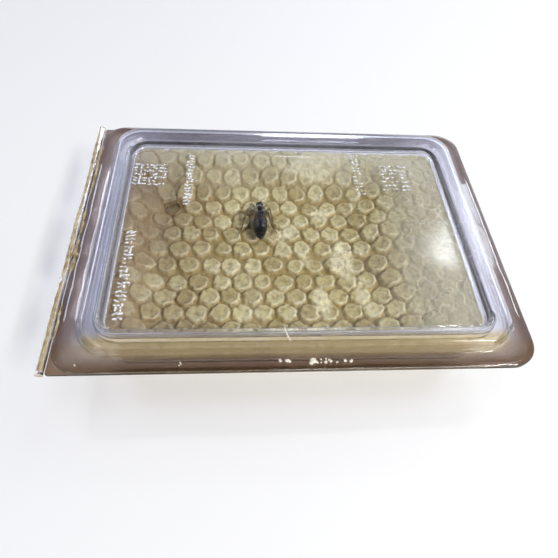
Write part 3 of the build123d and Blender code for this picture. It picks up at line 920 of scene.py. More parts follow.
def scalloped_loop(z, count=900):
    """Points round the comb's edge, drawn in at each cell and leaning out with the tray's wall."""
    points = []
    half_x = side_half_x + TRAY_LEAN * z
    half_y = side_half_y + TRAY_LEAN * z
    straight_x = 2 * (half_x - side_corner)
    straight_y = 2 * (half_y - side_corner)
    arc = math.pi * side_corner / 2
    lengths = [straight_y, arc, straight_x, arc, straight_y, arc, straight_x, arc]
    total = sum(lengths)
    starts = [
        (half_x, -half_y + side_corner, 0),
        (half_x - side_corner, half_y - side_corner, 0),
        (half_x - side_corner, half_y, 90),
        (-half_x + side_corner, half_y - side_corner, 90),
        (-half_x, half_y - side_corner, 180),
        (-half_x + side_corner, -half_y + side_corner, 180),
        (-half_x + side_corner, -half_y, 270),
        (half_x - side_corner, -half_y + side_corner, 270),
    ]
    for index in range(count):
        travelled = total * index / count
        leg = 0
        while travelled > lengths[leg]:
            travelled -= lengths[leg]
            leg += 1
        start_x, start_y, angle = starts[leg]
        if leg % 2 == 0:
            heading = math.radians(angle + 90)
            x = start_x + travelled * math.cos(heading)
            y = start_y + travelled * math.sin(heading)
            outward = math.radians(angle)
        else:
            outward = math.radians(angle) + travelled / side_corner
            x = start_x + side_corner * math.cos(outward)
            y = start_y + side_corner * math.sin(outward)
        along = total * index / count
        scallop = 0.55 * (1 - abs(math.sin(math.pi * along / (total / round(total / CELL_STEP_X))))) ** 2
        rough = 0.18 * noise.noise(Vector((along * 0.5, z * 0.35, 5.0)))
        inward = 0.30 - 0.25 * scallop - rough * 0.6
        points.append((LID_MIDDLE_X + x - inward * math.cos(outward), y - inward * math.sin(outward), z))
    return points


side_levels = 14
side_loops = [
    scalloped_loop(walls_low.z + (walls_high.z - walls_low.z) * level / side_levels)
    for level in range(side_levels + 1)
]
sides_piece = skin("comb_sides", side_loops)
side_material, tree, principled, output = new_material("comb_side_wax")
place = add_node(tree, "ShaderNodeTexCoord")
drips = add_node(tree, "ShaderNodeMapping")
drips.inputs["Scale"].default_value = (330, 330, 90)
tree.links.new(place.outputs["Object"], drips.inputs["Vector"])
runs = add_node(tree, "ShaderNodeTexNoise", Scale=1.0, Detail=5.0, Roughness=0.6)
tree.links.new(drips.outputs["Vector"], runs.inputs["Vector"])
run_color = ramp(
    tree,
    runs.outputs["Fac"],
    [(0.30, (0.20, 0.125, 0.04)), (0.52, (0.38, 0.29, 0.14)), (0.75, (0.56, 0.49, 0.31))],
)
tree.links.new(run_color.outputs["Color"], principled.inputs["Base Color"])
run_gloss = ramp(tree, runs.outputs["Fac"], [(0.3, (0.22, 0.22, 0.22)), (0.7, (0.55, 0.55, 0.55))])
tree.links.new(run_gloss.outputs["Color"], principled.inputs["Roughness"])
bump = add_node(tree, "ShaderNodeBump", Strength=0.6, Distance=0.0004)
tree.links.new(runs.outputs["Fac"], bump.inputs["Height"])
tree.links.new(bump.outputs["Normal"], principled.inputs["Normal"])
sides_piece.data.materials.append(side_material)
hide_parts("comb_cell_walls")
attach(sides_piece, "tray_body")


# ---------------------------------------------------------------------------
# Midrib: the wax sheet at the bottom that the cells were built on, pressed with the print of the
# six-sided cell bases. It lies on the tray's floor.
# ---------------------------------------------------------------------------
midrib_low, midrib_high = node_box("comb_midrib")
print_step = 0.55
print_columns = int(2 * side_half_x / print_step)
print_rows = int(2 * side_half_y / print_step)
midrib_points = []
midrib_faces = []
for face_sign in (-1, 1):
    for row in range(print_rows + 1):
        for column in range(print_columns + 1):
            x = LID_MIDDLE_X - side_half_x + 2 * side_half_x * column / print_columns
            y = -side_half_y + 2 * side_half_y * row / print_rows
            over_x = abs(x - LID_MIDDLE_X) - (side_half_x - side_corner)
            over_y = abs(y) - (side_half_y - side_corner)
            if over_x > 0 and over_y > 0:
                pull = max(over_x, over_y) / math.hypot(over_x, over_y)
                x = LID_MIDDLE_X + math.copysign(side_half_x - side_corner + over_x * pull, x - LID_MIDDLE_X)
                y = math.copysign(side_half_y - side_corner + over_y * pull, y)
            near, next_near, cell = nearest_cells(x, y)
            hollow_depth = 0.42 * smooth_step(0.1, 1.3, (next_near - near) / 2)
            z = midrib_low.z + hollow_depth if face_sign < 0 else midrib_high.z
            midrib_points.append((x, y, z))
sheet = (print_rows + 1) * (print_columns + 1)
width = print_columns + 1
for row in range(print_rows):
    for column in range(print_columns):
        first = row * width + column
        midrib_faces.append((first, first + width, first + width + 1, first + 1))
        top = sheet + first
        midrib_faces.append((top, top + 1, top + width + 1, top + width))
rim_indices = (
    [column for column in range(print_columns)]
    + [row * width + print_columns for row in range(print_rows)]
    + [print_rows * width + column for column in range(print_columns, 0, -1)]
    + [row * width for row in range(print_rows, 0, -1)]
)
for step, index in enumerate(rim_indices):
    after = rim_indices[(step + 1) % len(rim_indices)]
    midrib_faces.append((index, after, sheet + after, sheet + index))
midrib_piece = new_mesh("midrib_sheet", midrib_points, midrib_faces)
midrib_piece.data.materials.append(side_material)
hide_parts("comb_midrib")
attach(midrib_piece, "tray_body")


# ---------------------------------------------------------------------------
# Honey: amber and wet. It fills the open cells and lies between the cappings along the left
# edge, where the cells were torn.
# ---------------------------------------------------------------------------
def honey_level(x, y):
    """Height of the honey's surface, or far below the wax where there's none."""
    up = rise(x, y)
    base = (CAP_LEVEL - 1.25) * (1 - up) + (RIM_LEVEL - 0.65) * up
    seep = noise.noise(Vector((x * 0.16, y * 0.16, 21.0)))
    torn = smooth_step(-33.0, -39.0, x)
    pool = base - 0.12 + 0.30 * torn + 0.30 * seep
    dry = base - 3
    near, next_near, cell = nearest_cells(x, y)
    if cell[3] > 0.972:
        return max(pool, base - 0.25)
    if x < 6.0 and (torn > 0.05 or seep > 0.12):
        return pool
    return dry


honey_points = []
honey_lift = []
for x, y, height in comb_points[: (columns_x + 1) * (rows_y + 1)]:
    level = min(honey_level(x, y), RIM_LEVEL)
    honey_points.append((x, y, level))
    honey_lift.append(level - height)
honey_faces = []
width = columns_x + 1
for row in range(2, rows_y - 2):
    for column in range(2, columns_x - 2):
        first = row * width + column
        corners = (first, first + 1, first + width + 1, first + width)
        if max(honey_lift[corner] for corner in corners) > 0.0:
            honey_faces.append(corners)
used = sorted({corner for face in honey_faces for corner in face})
renumber = {old: new for new, old in enumerate(used)}
honey_piece = new_mesh(
    "honey_pools",
    [honey_points[old] for old in used],
    [tuple(renumber[corner] for corner in face) for face in honey_faces],
)
honey_material, tree, principled, output = new_material("honey")
place = add_node(tree, "ShaderNodeTexCoord")
cloud = add_node(tree, "ShaderNodeTexNoise", Scale=130.0, Detail=3.0)
tree.links.new(place.outputs["Object"], cloud.inputs["Vector"])
honey_color = ramp(tree, cloud.outputs["Fac"], [(0.3, (0.27, 0.155, 0.045)), (0.7, (0.42, 0.28, 0.10))])
tree.links.new(honey_color.outputs["Color"], principled.inputs["Base Color"])
honey_rough = ramp(tree, cloud.outputs["Fac"], [(0.3, (0.05, 0.05, 0.05)), (0.8, (0.18, 0.18, 0.18))])
tree.links.new(honey_rough.outputs["Color"], principled.inputs["Roughness"])
principled.inputs["Coat Weight"].default_value = 0.5
principled.inputs["Coat Roughness"].default_value = 0.04
principled.inputs["Alpha"].default_value = 0.82
honey_piece.data.materials.append(honey_material)
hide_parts("honey_fill")
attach(honey_piece, "tray_body")


# ---------------------------------------------------------------------------
# Queen's thorax: a polished dark shell of three plates under short pale hair, with a pale scale
# over each wing root. The grey-white of the hair and scales is partly painted glint. Her other
# parts join it front, back and sides.
# ---------------------------------------------------------------------------
def tube(points, radii, sides=10):
    """Points and faces of a round tube through points, with a radius at each."""
    made_points = []
    made_faces = []
    count = len(points)
    for index, point in enumerate(points):
        before = Vector(points[max(index - 1, 0)])
        ahead = Vector(points[min(index + 1, count - 1)])
        along = (ahead - before).normalized()
        across = along.cross(Vector((0.13, 0.21, 0.97))).normalized()
        other = along.cross(across)
        for side in range(sides):
            angle = 2 * math.pi * side / sides
            offset = across * math.cos(angle) + other * math.sin(angle)
            made_points.append(tuple(Vector(point) + offset * radii[index]))
    for index in range(count - 1):
        for side in range(sides):
            after = (side + 1) % sides
            low, high = index * sides, (index + 1) * sides
            made_faces.append((low + side, low + after, high + after, high + side))
    made_faces.append(tuple(reversed(range(sides))))
    made_faces.append(tuple((count - 1) * sides + side for side in range(sides)))
    return made_points, made_faces


def smooth_path(points, steps=5):
    """A soft curve through points."""
    path = []
    for index in range(len(points) - 1):
        p0 = Vector(points[max(index - 1, 0)])
        p1 = Vector(points[index])
        p2 = Vector(points[index + 1])
        p3 = Vector(points[min(index + 2, len(points) - 1)])
        for step in range(steps):
            t = step / steps
            path.append(
                0.5 * ((2 * p1) + (p2 - p0) * t + (2 * p0 - 5 * p1 + 4 * p2 - p3) * t * t
                + (3 * p1 - p0 - 3 * p2 + p3) * t ** 3)
            )
    path.append(Vector(points[-1]))
    return path


def join_parts(name, parts):
    """One mesh from several sets of points and faces."""
    points, faces = [], []
    for part_points, part_faces in parts:
        start = len(points)
        points.extend(part_points)
        faces.extend(tuple(index + start for index in face) for face in part_faces)
    return new_mesh(name, points, faces)


def ball(centre, size, rows=20, columns=32, shape=None):
    """Points and faces of an ellipsoid, each point moved by shape(direction) if it's given."""
    points = []
    faces = []
    for row in range(1, rows):
        tilt = math.pi * row / rows
        for column in range(columns):
            angle = 2 * math.pi * column / columns
            flat = math.sin(tilt)
            direction = Vector((flat * math.cos(angle), math.cos(tilt), flat * math.sin(angle)))
            swell = shape(direction) if shape else 1.0
            points.append(tuple(centre[axis] + direction[axis] * size[axis] * swell for axis in range(3)))
    points.append((centre[0], centre[1] + size[1] * (shape(Vector((0, 1, 0))) if shape else 1), centre[2]))
    points.append((centre[0], centre[1] - size[1] * (shape(Vector((0, -1, 0))) if shape else 1), centre[2]))
    first_pole, last_pole = len(points) - 2, len(points) - 1
    for column in range(columns):
        after = (column + 1) % columns
        faces.append((first_pole, after, column))
        for row in range(rows - 2):
            low, high = row * columns, (row + 1) * columns
            faces.append((low + column, low + after, high + after, high + column))
        final = (rows - 2) * columns
        faces.append((last_pole, final + column, final + after))
    return points, faces


thorax_low, thorax_high = node_box("queen_thorax")
thorax_middle = (thorax_low + thorax_high) / 2
thorax_half = (thorax_high - thorax_low) / 2
queen_x = thorax_middle.x


def thorax_swell(direction):
    groove = 0.10 * math.exp(-(((direction.y + 0.45) / 0.10) ** 2)) * max(direction.z, 0)
    waist = 0.18 * max(-direction.y - 0.6, 0) + 0.15 * max(direction.y - 0.7, 0)
    return 0.97 - groove - waist + 0.015 * noise.noise(direction * 6)


thorax_ball = ball(thorax_middle, thorax_half * 0.97, shape=thorax_swell)
thorax_shell = join_parts("queen_thorax_shell", [thorax_ball])
shell_material, tree, principled, output = new_material("queen_shell")
place = add_node(tree, "ShaderNodeTexCoord")
pits = add_node(tree, "ShaderNodeTexNoise", Scale=2600.0, Detail=4.0)
tree.links.new(place.outputs["Object"], pits.inputs["Vector"])
shell_color = ramp(tree, pits.outputs["Fac"], [(0.35, (0.004, 0.004, 0.004)), (0.75, (0.014, 0.011, 0.010))])
tree.links.new(shell_color.outputs["Color"], principled.inputs["Base Color"])
shell_rough = ramp(tree, pits.outputs["Fac"], [(0.3, (0.16, 0.16, 0.16)), (0.7, (0.32, 0.32, 0.32))])
tree.links.new(shell_rough.outputs["Color"], principled.inputs["Roughness"])
bump = add_node(tree, "ShaderNodeBump", Strength=0.35, Distance=0.00006)
tree.links.new(pits.outputs["Fac"], bump.inputs["Height"])
tree.links.new(bump.outputs["Normal"], principled.inputs["Normal"])
principled.inputs["Specular IOR Level"].default_value = 0.12
principled.inputs["Coat Weight"].default_value = 0.8
principled.inputs["Coat Roughness"].default_value = 0.05
thorax_shell.data.materials.append(shell_material)
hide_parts("queen_thorax")
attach(thorax_shell, "tray_body")

hair_chance = random.Random(41)
hairs = []
for strand in range(620):
    turn_angle = hair_chance.uniform(0, 2 * math.pi)
    lift = hair_chance.uniform(-0.2, 1.0)
    flat = math.sqrt(max(1 - lift * lift, 0))
    direction = Vector((flat * math.cos(turn_angle), flat * math.sin(turn_angle), lift))
    swell = thorax_swell(direction) * 0.95
    root = thorax_middle + Vector([direction[axis] * thorax_half[axis] * swell for axis in range(3)])
    if abs(direction.x) < 0.35 and abs(direction.y) < 0.55 and direction.z > 0.6:
        continue
    lean_back = Vector((hair_chance.uniform(-0.3, 0.3), hair_chance.uniform(-0.7, -0.1), 0.2))
    length = hair_chance.uniform(0.20, 0.42)
    tip = root + (direction + lean_back).normalized() * length
    middle = (root + tip) / 2 + direction * 0.03
    hairs.append(tube([root, middle, tip], [0.030, 0.022, 0.005], 4))
# Pale scales over the wing roots, in the hair's colour: partly painted glint.
for side in (-1, 1):
    scale_offset = Vector((side * thorax_half.x * 0.62, -thorax_half.y * 0.42, thorax_half.z * 0.70))
    hairs.append(ball(thorax_middle + scale_offset, Vector((0.34, 0.46, 0.24)), 10, 16))
hair_piece = join_parts("queen_thorax_hair", hairs)
hair_material, tree, principled, output = new_material("queen_hair")
place = add_node(tree, "ShaderNodeTexCoord")
hair_noise = add_node(tree, "ShaderNodeTexNoise", Scale=900.0, Detail=2.0)
tree.links.new(place.outputs["Object"], hair_noise.inputs["Vector"])
# Grey to near-white hair colour: partly real pale hair, partly painted glint.
hair_and_glint_color = ramp(tree, hair_noise.outputs["Fac"], [(0.3, (0.30, 0.29, 0.27)), (0.7, (0.80, 0.80, 0.79))])
tree.links.new(hair_and_glint_color.outputs["Color"], principled.inputs["Base Color"])
principled.inputs["Roughness"].default_value = 0.5
hair_piece.data.materials.append(hair_material)
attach(hair_piece, "tray_body")


# ---------------------------------------------------------------------------
# Queen's head: a small dark wedge with two long compound eyes, three tiny eyes on top, and her
# jaws folded in front. It sits close against the thorax.
# ---------------------------------------------------------------------------
head_low, head_high = node_box("queen_head")
head_middle = (head_low + head_high) / 2
head_half = (head_high - head_low) / 2


def head_swell(direction):
    return 0.93 - 0.16 * max(-direction.z, 0) + 0.02 * noise.noise(direction * 5)


head_size = (head_half.x * 0.98, head_half.y * 0.95, head_half.z * 0.95)
head_parts = [ball(head_middle, head_size, shape=head_swell)]
jaw_radii = [0.14] * 6 + [0.12] * 3 + [0.05] * 2
for side in (-1, 1):
    eye = (head_middle.x + side * head_half.x * 0.66, head_middle.y - 0.02, head_middle.z + 0.12)
    head_parts.append(ball(eye, (0.30, 0.34, 0.52), rows=12, columns=16))
    jaw_root = (head_middle.x + side * 0.35, head_middle.y + head_half.y * 0.62, head_middle.z - 0.45)
    jaw_bend = (head_middle.x + side * 0.34, head_middle.y + head_half.y * 0.90, head_middle.z - 0.62)
    jaw_tip = (head_middle.x + side * 0.06, head_middle.y + head_half.y * 0.97, head_middle.z - 0.78)
    head_parts.append(tube(smooth_path([jaw_root, jaw_bend, jaw_tip]), jaw_radii, 8))
brow_z = head_middle.z + head_half.z * 0.86
for offset_x, offset_y in ((-0.16, 0.0), (0.16, 0.0), (0.0, 0.18)):
    small_eye = (head_middle.x + offset_x, head_middle.y + offset_y, brow_z)
    head_parts.append(ball(small_eye, (0.07, 0.07, 0.07), 8, 10))
head_piece = join_parts("queen_head_shell", head_parts)
head_piece.data.materials.append(shell_material)
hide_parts("queen_head")
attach(head_piece, "tray_body")


# ---------------------------------------------------------------------------
# Queen's abdomen: long, pointed and glossy black, of six overlapping plates, each a little wider
# at its back edge than the front of the one behind it, with a brown fringe that is partly painted glint.
# ---------------------------------------------------------------------------
abdomen_low, abdomen_high = node_box("queen_abdomen")
abdomen_middle = (abdomen_low + abdomen_high) / 2
abdomen_half_x = (abdomen_high.x - abdomen_low.x) / 2
abdomen_half_z = (abdomen_high.z - abdomen_low.z) / 2
abdomen_length = abdomen_high.y - abdomen_low.y
plate_ends = [0.0, 0.13, 0.30, 0.48, 0.65, 0.82, 1.0]


def abdomen_width(share):
    """Half width from front to tip, as a share of the widest."""
    front = 0.66 + 0.34 * math.sin(min(share / 0.34, 1.0) * math.pi / 2)
    back = 1.0 if share < 0.34 else max(1 - ((share - 0.34) / 0.66) ** 2.3, 0.0) ** 0.85
    return front * back


abdomen_rings = 110
abdomen_sides = 40
abdomen_points = []
abdomen_bands = []
abdomen_faces = []
for ring in range(abdomen_rings + 1):
    share = ring / abdomen_rings
    plate = max(index for index in range(6) if share >= plate_ends[index])
    inside = (share - plate_ends[plate]) / (plate_ends[plate + 1] - plate_ends[plate])
    step_out = 0.955 + 0.035 * inside ** 0.5 if inside < 0.96 else 0.955 + 0.035 * (1 - inside) / 0.04
    y = abdomen_high.y - 0.01 - (abdomen_length - 0.04) * share
    for side in range(abdomen_sides):
        angle = 2 * math.pi * side / abdomen_sides
        reach = abdomen_width(share) * step_out + 0.004
        x = queen_x + abdomen_half_x * reach * math.cos(angle)
        z = abdomen_middle.z + abdomen_half_z * reach * math.sin(angle) * 0.98
        abdomen_points.append((x, y, z))
        abdomen_bands.append(smooth_step(0.80, 0.97, inside) if inside < 0.99 else 0.0)
for ring in range(abdomen_rings):
    for side in range(abdomen_sides):
        after = (side + 1) % abdomen_sides
        low, high = ring * abdomen_sides, (ring + 1) * abdomen_sides
        abdomen_faces.append((low + side, low + after, high + after, high + side))
abdomen_faces.append(tuple(reversed(range(abdomen_sides))))
abdomen_faces.append(tuple(abdomen_rings * abdomen_sides + side for side in range(abdomen_sides)))
abdomen_piece = new_mesh("queen_abdomen_plates", abdomen_points, abdomen_faces)
attribute = abdomen_piece.data.attributes.new("band", "FLOAT", "POINT")
attribute.data.foreach_set("value", abdomen_bands)
abdomen_material, tree, principled, output = new_material("queen_abdomen_shell")
place = add_node(tree, "ShaderNodeTexCoord")
pits = add_node(tree, "ShaderNodeTexNoise", Scale=2200.0, Detail=3.0)
tree.links.new(place.outputs["Object"], pits.inputs["Vector"])
band = add_node(tree, "ShaderNodeAttribute", attribute_name="band")
plate_color = ramp(tree, pits.outputs["Fac"], [(0.3, (0.003, 0.003, 0.004)), (0.8, (0.010, 0.008, 0.008))])
# Lighter fringe at each plate's back edge: partly the plates' brown edge, partly a painted glint line.
fringe_and_glint_color = color_mix(tree, band.outputs["Fac"], plate_color.outputs["Color"], (0.030, 0.024, 0.020))
tree.links.new(fringe_and_glint_color, principled.inputs["Base Color"])
plate_rough = ramp(tree, pits.outputs["Fac"], [(0.3, (0.10, 0.10, 0.10)), (0.7, (0.22, 0.22, 0.22))])
tree.links.new(plate_rough.outputs["Color"], principled.inputs["Roughness"])
principled.inputs["Specular IOR Level"].default_value = 0.08
principled.inputs["Coat Weight"].default_value = 1.0
principled.inputs["Coat Roughness"].default_value = 0.11
abdomen_piece.data.materials.append(abdomen_material)
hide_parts("queen_abdomen")
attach(abdomen_piece, "tray_body")


# ---------------------------------------------------------------------------
# Queen's legs: three pairs, amber brown, each of a hip, a thigh, a shin, a flat first foot joint
# and four small ones that end in two claws. They stand on the cappings.
# ---------------------------------------------------------------------------
leg_material, tree, principled, output = new_material("queen_leg")
place = add_node(tree, "ShaderNodeTexCoord")
leg_noise = add_node(tree, "ShaderNodeTexNoise", Scale=700.0, Detail=3.0)
tree.links.new(place.outputs["Object"], leg_noise.inputs["Vector"])
leg_tones = [(0.32, (0.030, 0.018, 0.009)), (0.68, (0.22, 0.145, 0.050))]
leg_color = ramp(tree, leg_noise.outputs["Fac"], leg_tones)
tree.links.new(leg_color.outputs["Color"], principled.inputs["Base Color"])
principled.inputs["Roughness"].default_value = 0.32
principled.inputs["Coat Weight"].default_value = 0.3


def jointed_leg(hip, knee, ankle, foot, thickness):
    """One leg: thigh, shin and foot joints as separate tapering tubes with swollen ends."""
    parts = []
    hip, knee, ankle, foot = Vector(hip), Vector(knee), Vector(ankle), Vector(foot)
    swell = [0.72, 1.0, 1.12, 1.05, 0.85, 0.62]

    def limb(start, end, thick, bow):
        path = []
        for step in range(6):
            share = step / 5
            path.append(start.lerp(end, share) + Vector((0, 0, bow * math.sin(math.pi * share))))
        parts.append(tube(path, [thick * value for value in swell], 10))
        parts.append(ball(end, (thick * 0.62,) * 3, 8, 10))

    limb(hip, knee, thickness, 0.08)
    limb(knee, ankle, thickness * 0.92, 0.05)
    first_end = ankle.lerp(foot, 0.42)
    limb(ankle, first_end, thickness * 0.78, 0.0)
    for joint in range(4):
        start = first_end.lerp(foot, joint / 4)
        end = first_end.lerp(foot, (joint + 0.92) / 4)
        limb(start, end, thickness * (0.46 - 0.05 * joint), 0.0)
    heading = (foot - first_end).normalized()
    sideways = heading.cross(Vector((0, 0, 1))).normalized()
    for side in (-1, 1):
        claw_tip = foot + heading * 0.16 + sideways * side * 0.12 + Vector((0, 0, -0.03))
        claw_bend = foot.lerp(claw_tip, 0.5) + Vector((0, 0, 0.04))
        parts.append(tube([foot, claw_bend, claw_tip], [0.04, 0.03, 0.01], 6))
    return parts


foot_level = node_box("queen_hind_legs")[0].z + 0.12
knee_level = thorax_middle.z + 0.55
hip_level = thorax_middle.z - 0.7
leg_places = {
    "queen_front_legs": [
        ((queen_x - 0.95, thorax_middle.y + 1.05), (queen_x - 2.1, thorax_middle.y + 2.1),
         (queen_x - 2.5, thorax_middle.y + 3.3), (queen_x - 2.0, thorax_middle.y + 4.6), 0.15),
        ((queen_x + 0.95, thorax_middle.y + 1.05), (queen_x + 1.9, thorax_middle.y + 2.0),
         (queen_x + 2.4, thorax_middle.y + 3.0), (queen_x + 2.2, thorax_middle.y + 4.4), 0.15),
    ],
    "queen_middle_legs": [
        ((queen_x - 1.30, thorax_middle.y), (queen_x - 2.9, thorax_middle.y + 0.6),
         (queen_x - 3.9, thorax_middle.y - 0.9), (queen_x - 4.7, thorax_middle.y - 2.4), 0.17),
        ((queen_x + 1.30, thorax_middle.y), (queen_x + 2.7, thorax_middle.y + 0.5),
         (queen_x + 3.3, thorax_middle.y - 1.0), (queen_x + 4.0, thorax_middle.y - 2.3), 0.17),
    ],
    "queen_hind_legs": [
        ((queen_x - 1.15, thorax_middle.y - 0.75), (queen_x - 3.4, thorax_middle.y + 0.1),
         (queen_x - 4.7, thorax_middle.y - 4.4), (queen_x - 6.1, thorax_middle.y - 8.2), 0.31),
        ((queen_x + 1.15, thorax_middle.y - 0.75), (queen_x + 2.3, thorax_middle.y - 0.9),
         (queen_x + 3.2, thorax_middle.y - 3.9), (queen_x + 4.5, thorax_middle.y - 6.4), 0.31),
    ],
}
for leg_node, pair in leg_places.items():
    leg_parts = []
    for hip, knee, ankle, foot, thickness in pair:
        leg_parts.extend(
            jointed_leg(
                (*hip, hip_level),
                (*knee, knee_level),
                (*ankle, foot_level + 0.55),
                (*foot, foot_level),
                thickness,
            )
        )
    leg_piece = join_parts(leg_node.replace("queen_", "jointed_"), leg_parts)
    leg_piece.data.materials.append(leg_material)
    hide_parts(leg_node)
    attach(leg_piece, "tray_body")


# ---------------------------------------------------------------------------
# Queen's antennae: two elbowed feelers, a straight stalk and then eleven small beads, set on the
# front of the head.
# ---------------------------------------------------------------------------
feeler_parts = []
for side in (-1, 1):
    root = Vector((queen_x + side * 0.30, head_high.y - 0.10, head_middle.z + 0.25))
    elbow = root + Vector((side * 0.55, 0.75, 0.35))
    feeler_tip = elbow + Vector((side * 0.45, 1.05, -0.75))
    feeler_parts.append(tube([root, root.lerp(elbow, 0.5), elbow], [0.075, 0.06, 0.07], 8))
    for bead in range(11):
        start = elbow.lerp(feeler_tip, bead / 11)
        end = elbow.lerp(feeler_tip, (bead + 0.93) / 11)
        feeler_parts.append(tube([start, start.lerp(end, 0.5), end], [0.06, 0.075, 0.065], 8))
feeler_piece = join_parts("elbowed_antennae", feeler_parts)
feeler_piece.data.materials.append(leg_material)
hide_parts("queen_antennae")
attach(feeler_piece, "tray_body")


# ---------------------------------------------------------------------------
# Queen's wings: two thin clear blades laid back over the front half of the abdomen, stiffened by
# brown veins that run from the root and cross near the tip.
# ---------------------------------------------------------------------------
wing_low, wing_high = node_box("queen_wings")
wing_root_y = thorax_middle.y - 0.1
wing_length = 5.3
wing_parts = []
vein_parts = []
for side in (-1, 1):
    heading = Vector((side * 0.27, -1.0, 0)).normalized()
    across = Vector((side, 0.27, 0)).normalized()
    root = Vector((queen_x + side * 0.85, wing_root_y, wing_low.z - 0.15))

    def wing_point(along, spread):
        """A point on the blade: along from root to tip, spread from the body outwards."""
        half = 0.12 + 0.48 * math.sin(math.pi * min(along * 0.86 + 0.10, 1)) ** 0.8
        droop = -0.45 * along ** 2 + 0.05 * math.cos(spread * 9) * along
        outward = across * (half * spread + 0.15 * along)
        return root + heading * wing_length * along + outward + Vector((0, 0, droop))

    points = []
    faces = []
    wing_rows, wing_columns = 26, 8
    for row in range(wing_rows + 1):
        for column in range(wing_columns + 1):
            points.append(tuple(wing_point(row / wing_rows, -1 + 2 * column / wing_columns)))
    for row in range(wing_rows):
        for column in range(wing_columns):
            first = row * (wing_columns + 1) + column
            faces.append((first, first + 1, first + wing_columns + 2, first + wing_columns + 1))
    wing_parts.append((points, faces))
    long_veins = ((0.9, 0.92, 1.0), (0.45, 0.55, 0.92), (0.0, 0.1, 0.88), (-0.5, -0.45, 0.8))
    for spread_start, spread_end, vein_end in long_veins:
        path = []
        for step in range(12):
            share = step / 11
            spread = spread_start + (spread_end - spread_start) * share
            path.append(wing_point(vein_end * share, spread) + Vector((0, 0, 0.01)))
        vein_parts.append(tube(path, [0.045 - 0.002 * step for step in range(12)], 6))
    for along in (0.45, 0.66, 0.8):
        path = [wing_point(along + 0.03 * step, -0.45 + 0.33 * step) for step in range(4)]
        vein_parts.append(tube(path, [0.015] * 4, 6))
wing_piece = join_parts("wing_blades", wing_parts)
wing_material, tree, principled, output = new_material("wing_film")
place = add_node(tree, "ShaderNodeTexCoord")
wing_noise = add_node(tree, "ShaderNodeTexNoise", Scale=500.0, Detail=3.0)
tree.links.new(place.outputs["Object"], wing_noise.inputs["Vector"])
wing_color = ramp(tree, wing_noise.outputs["Fac"], [(0.3, (0.20, 0.14, 0.08)), (0.7, (0.42, 0.34, 0.24))])
tree.links.new(wing_color.outputs["Color"], principled.inputs["Base Color"])
principled.inputs["Roughness"].default_value = 0.18
principled.inputs["Alpha"].default_value = 0.018
wing_piece.data.materials.append(wing_material)
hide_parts("queen_wings")
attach(wing_piece, "tray_body")
vein_piece = join_parts("wing_veins", vein_parts)
vein_piece.data.materials.append(leg_material)
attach(vein_piece, "tray_body")


# ---------------------------------------------------------------------------
# Moulded marks: small raised strokes on the window, in two blocks and two columns, rounded and
# frosted so they catch the light; their near-white colour is partly frosting, partly painted glint.
# They carry no writing.
# ---------------------------------------------------------------------------
mark_chance = random.Random(8)
mark_parts = []


def stroke(x, y, length, width, angle):
    """One raised stroke, a low rounded bar."""
    along = Vector((math.cos(angle), math.sin(angle), 0))
    middle = Vector((x, y, LID_TOP + 0.02))
    path = [middle + along * length * (share - 0.5) for share in (0, 0.08, 0.5, 0.92, 1)]
    radii = [0.3 * width, 0.5 * width, 0.55 * width, 0.5 * width, 0.3 * width]
    points, faces = tube(path, radii, 8)
    points = [(px, py, max(LID_TOP - 0.02, LID_TOP + (pz - LID_TOP) * 0.5)) for px, py, pz in points]
    mark_parts.append((points, faces))


def mark_field(left, right, front, back, columns, rows, share_kept, length):
    """A block of strokes of mixed lengths and slants, some of them missing."""
    for column in range(columns):
        for row in range(rows):
            if mark_chance.random() > share_kept:
                continue
            x = left + (right - left) * (column + 0.5) / columns + mark_chance.uniform(-0.2, 0.2)
            y = front + (back - front) * (row + 0.5) / rows + mark_chance.uniform(-0.2, 0.2)
            angle = mark_chance.choice((0.0, 0.0, 1.57, 0.5, -0.5)) + mark_chance.uniform(-0.1, 0.1)
            stroke(x, y, length * mark_chance.uniform(0.6, 1.1), mark_chance.uniform(0.34, 0.56), angle)


mark_field(-40.3, -37.9, -26.4, -1.0, 2, 22, 0.9, 1.5)
mark_field(-41.3, -32.1, 14.4, 23.0, 7, 7, 0.85, 1.4)
mark_field(-27.2, -25.2, 7.6, 26.8, 2, 17, 0.95, 1.4)
mark_field(19.3, 21.9, 12.1, 28.3, 2, 13, 0.85, 1.2)
mark_field(27.4, 35.3, 13.6, 24.2, 6, 7, 0.75, 1.3)
marks_piece = join_parts("window_strokes", mark_parts)
marks_material, tree, principled, output = new_material("frosted_strokes")
place = add_node(tree, "ShaderNodeTexCoord")
frost = add_node(tree, "ShaderNodeTexNoise", Scale=1500.0, Detail=3.0)
tree.links.new(place.outputs["Object"], frost.inputs["Vector"])
# Near-white strokes: partly frosted plastic, partly painted glint.
frost_and_glint_color = ramp(tree, frost.outputs["Fac"], [(0.3, (0.62, 0.64, 0.68)), (0.6, (0.95, 0.96, 1.0))])
tree.links.new(frost_and_glint_color.outputs["Color"], principled.inputs["Base Color"])
frost_rough = ramp(tree, frost.outputs["Fac"], [(0.3, (0.12, 0.12, 0.12)), (0.7, (0.4, 0.4, 0.4))])
tree.links.new(frost_rough.outputs["Color"], principled.inputs["Roughness"])
frost_alpha = ramp(tree, frost.outputs["Fac"], [(0.35, (0.35, 0.35, 0.35)), (0.6, (0.95, 0.95, 0.95))])
tree.links.new(frost_alpha.outputs["Color"], principled.inputs["Alpha"])
marks_piece.data.materials.append(marks_material)
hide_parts("moulded_marks")
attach(marks_piece, "lid_body")


# ---------------------------------------------------------------------------
# Wax crumbs: soft pale crumbs of capping wax that fell on the lid's front flange and stuck.
# ---------------------------------------------------------------------------
crumb_chance = random.Random(3)


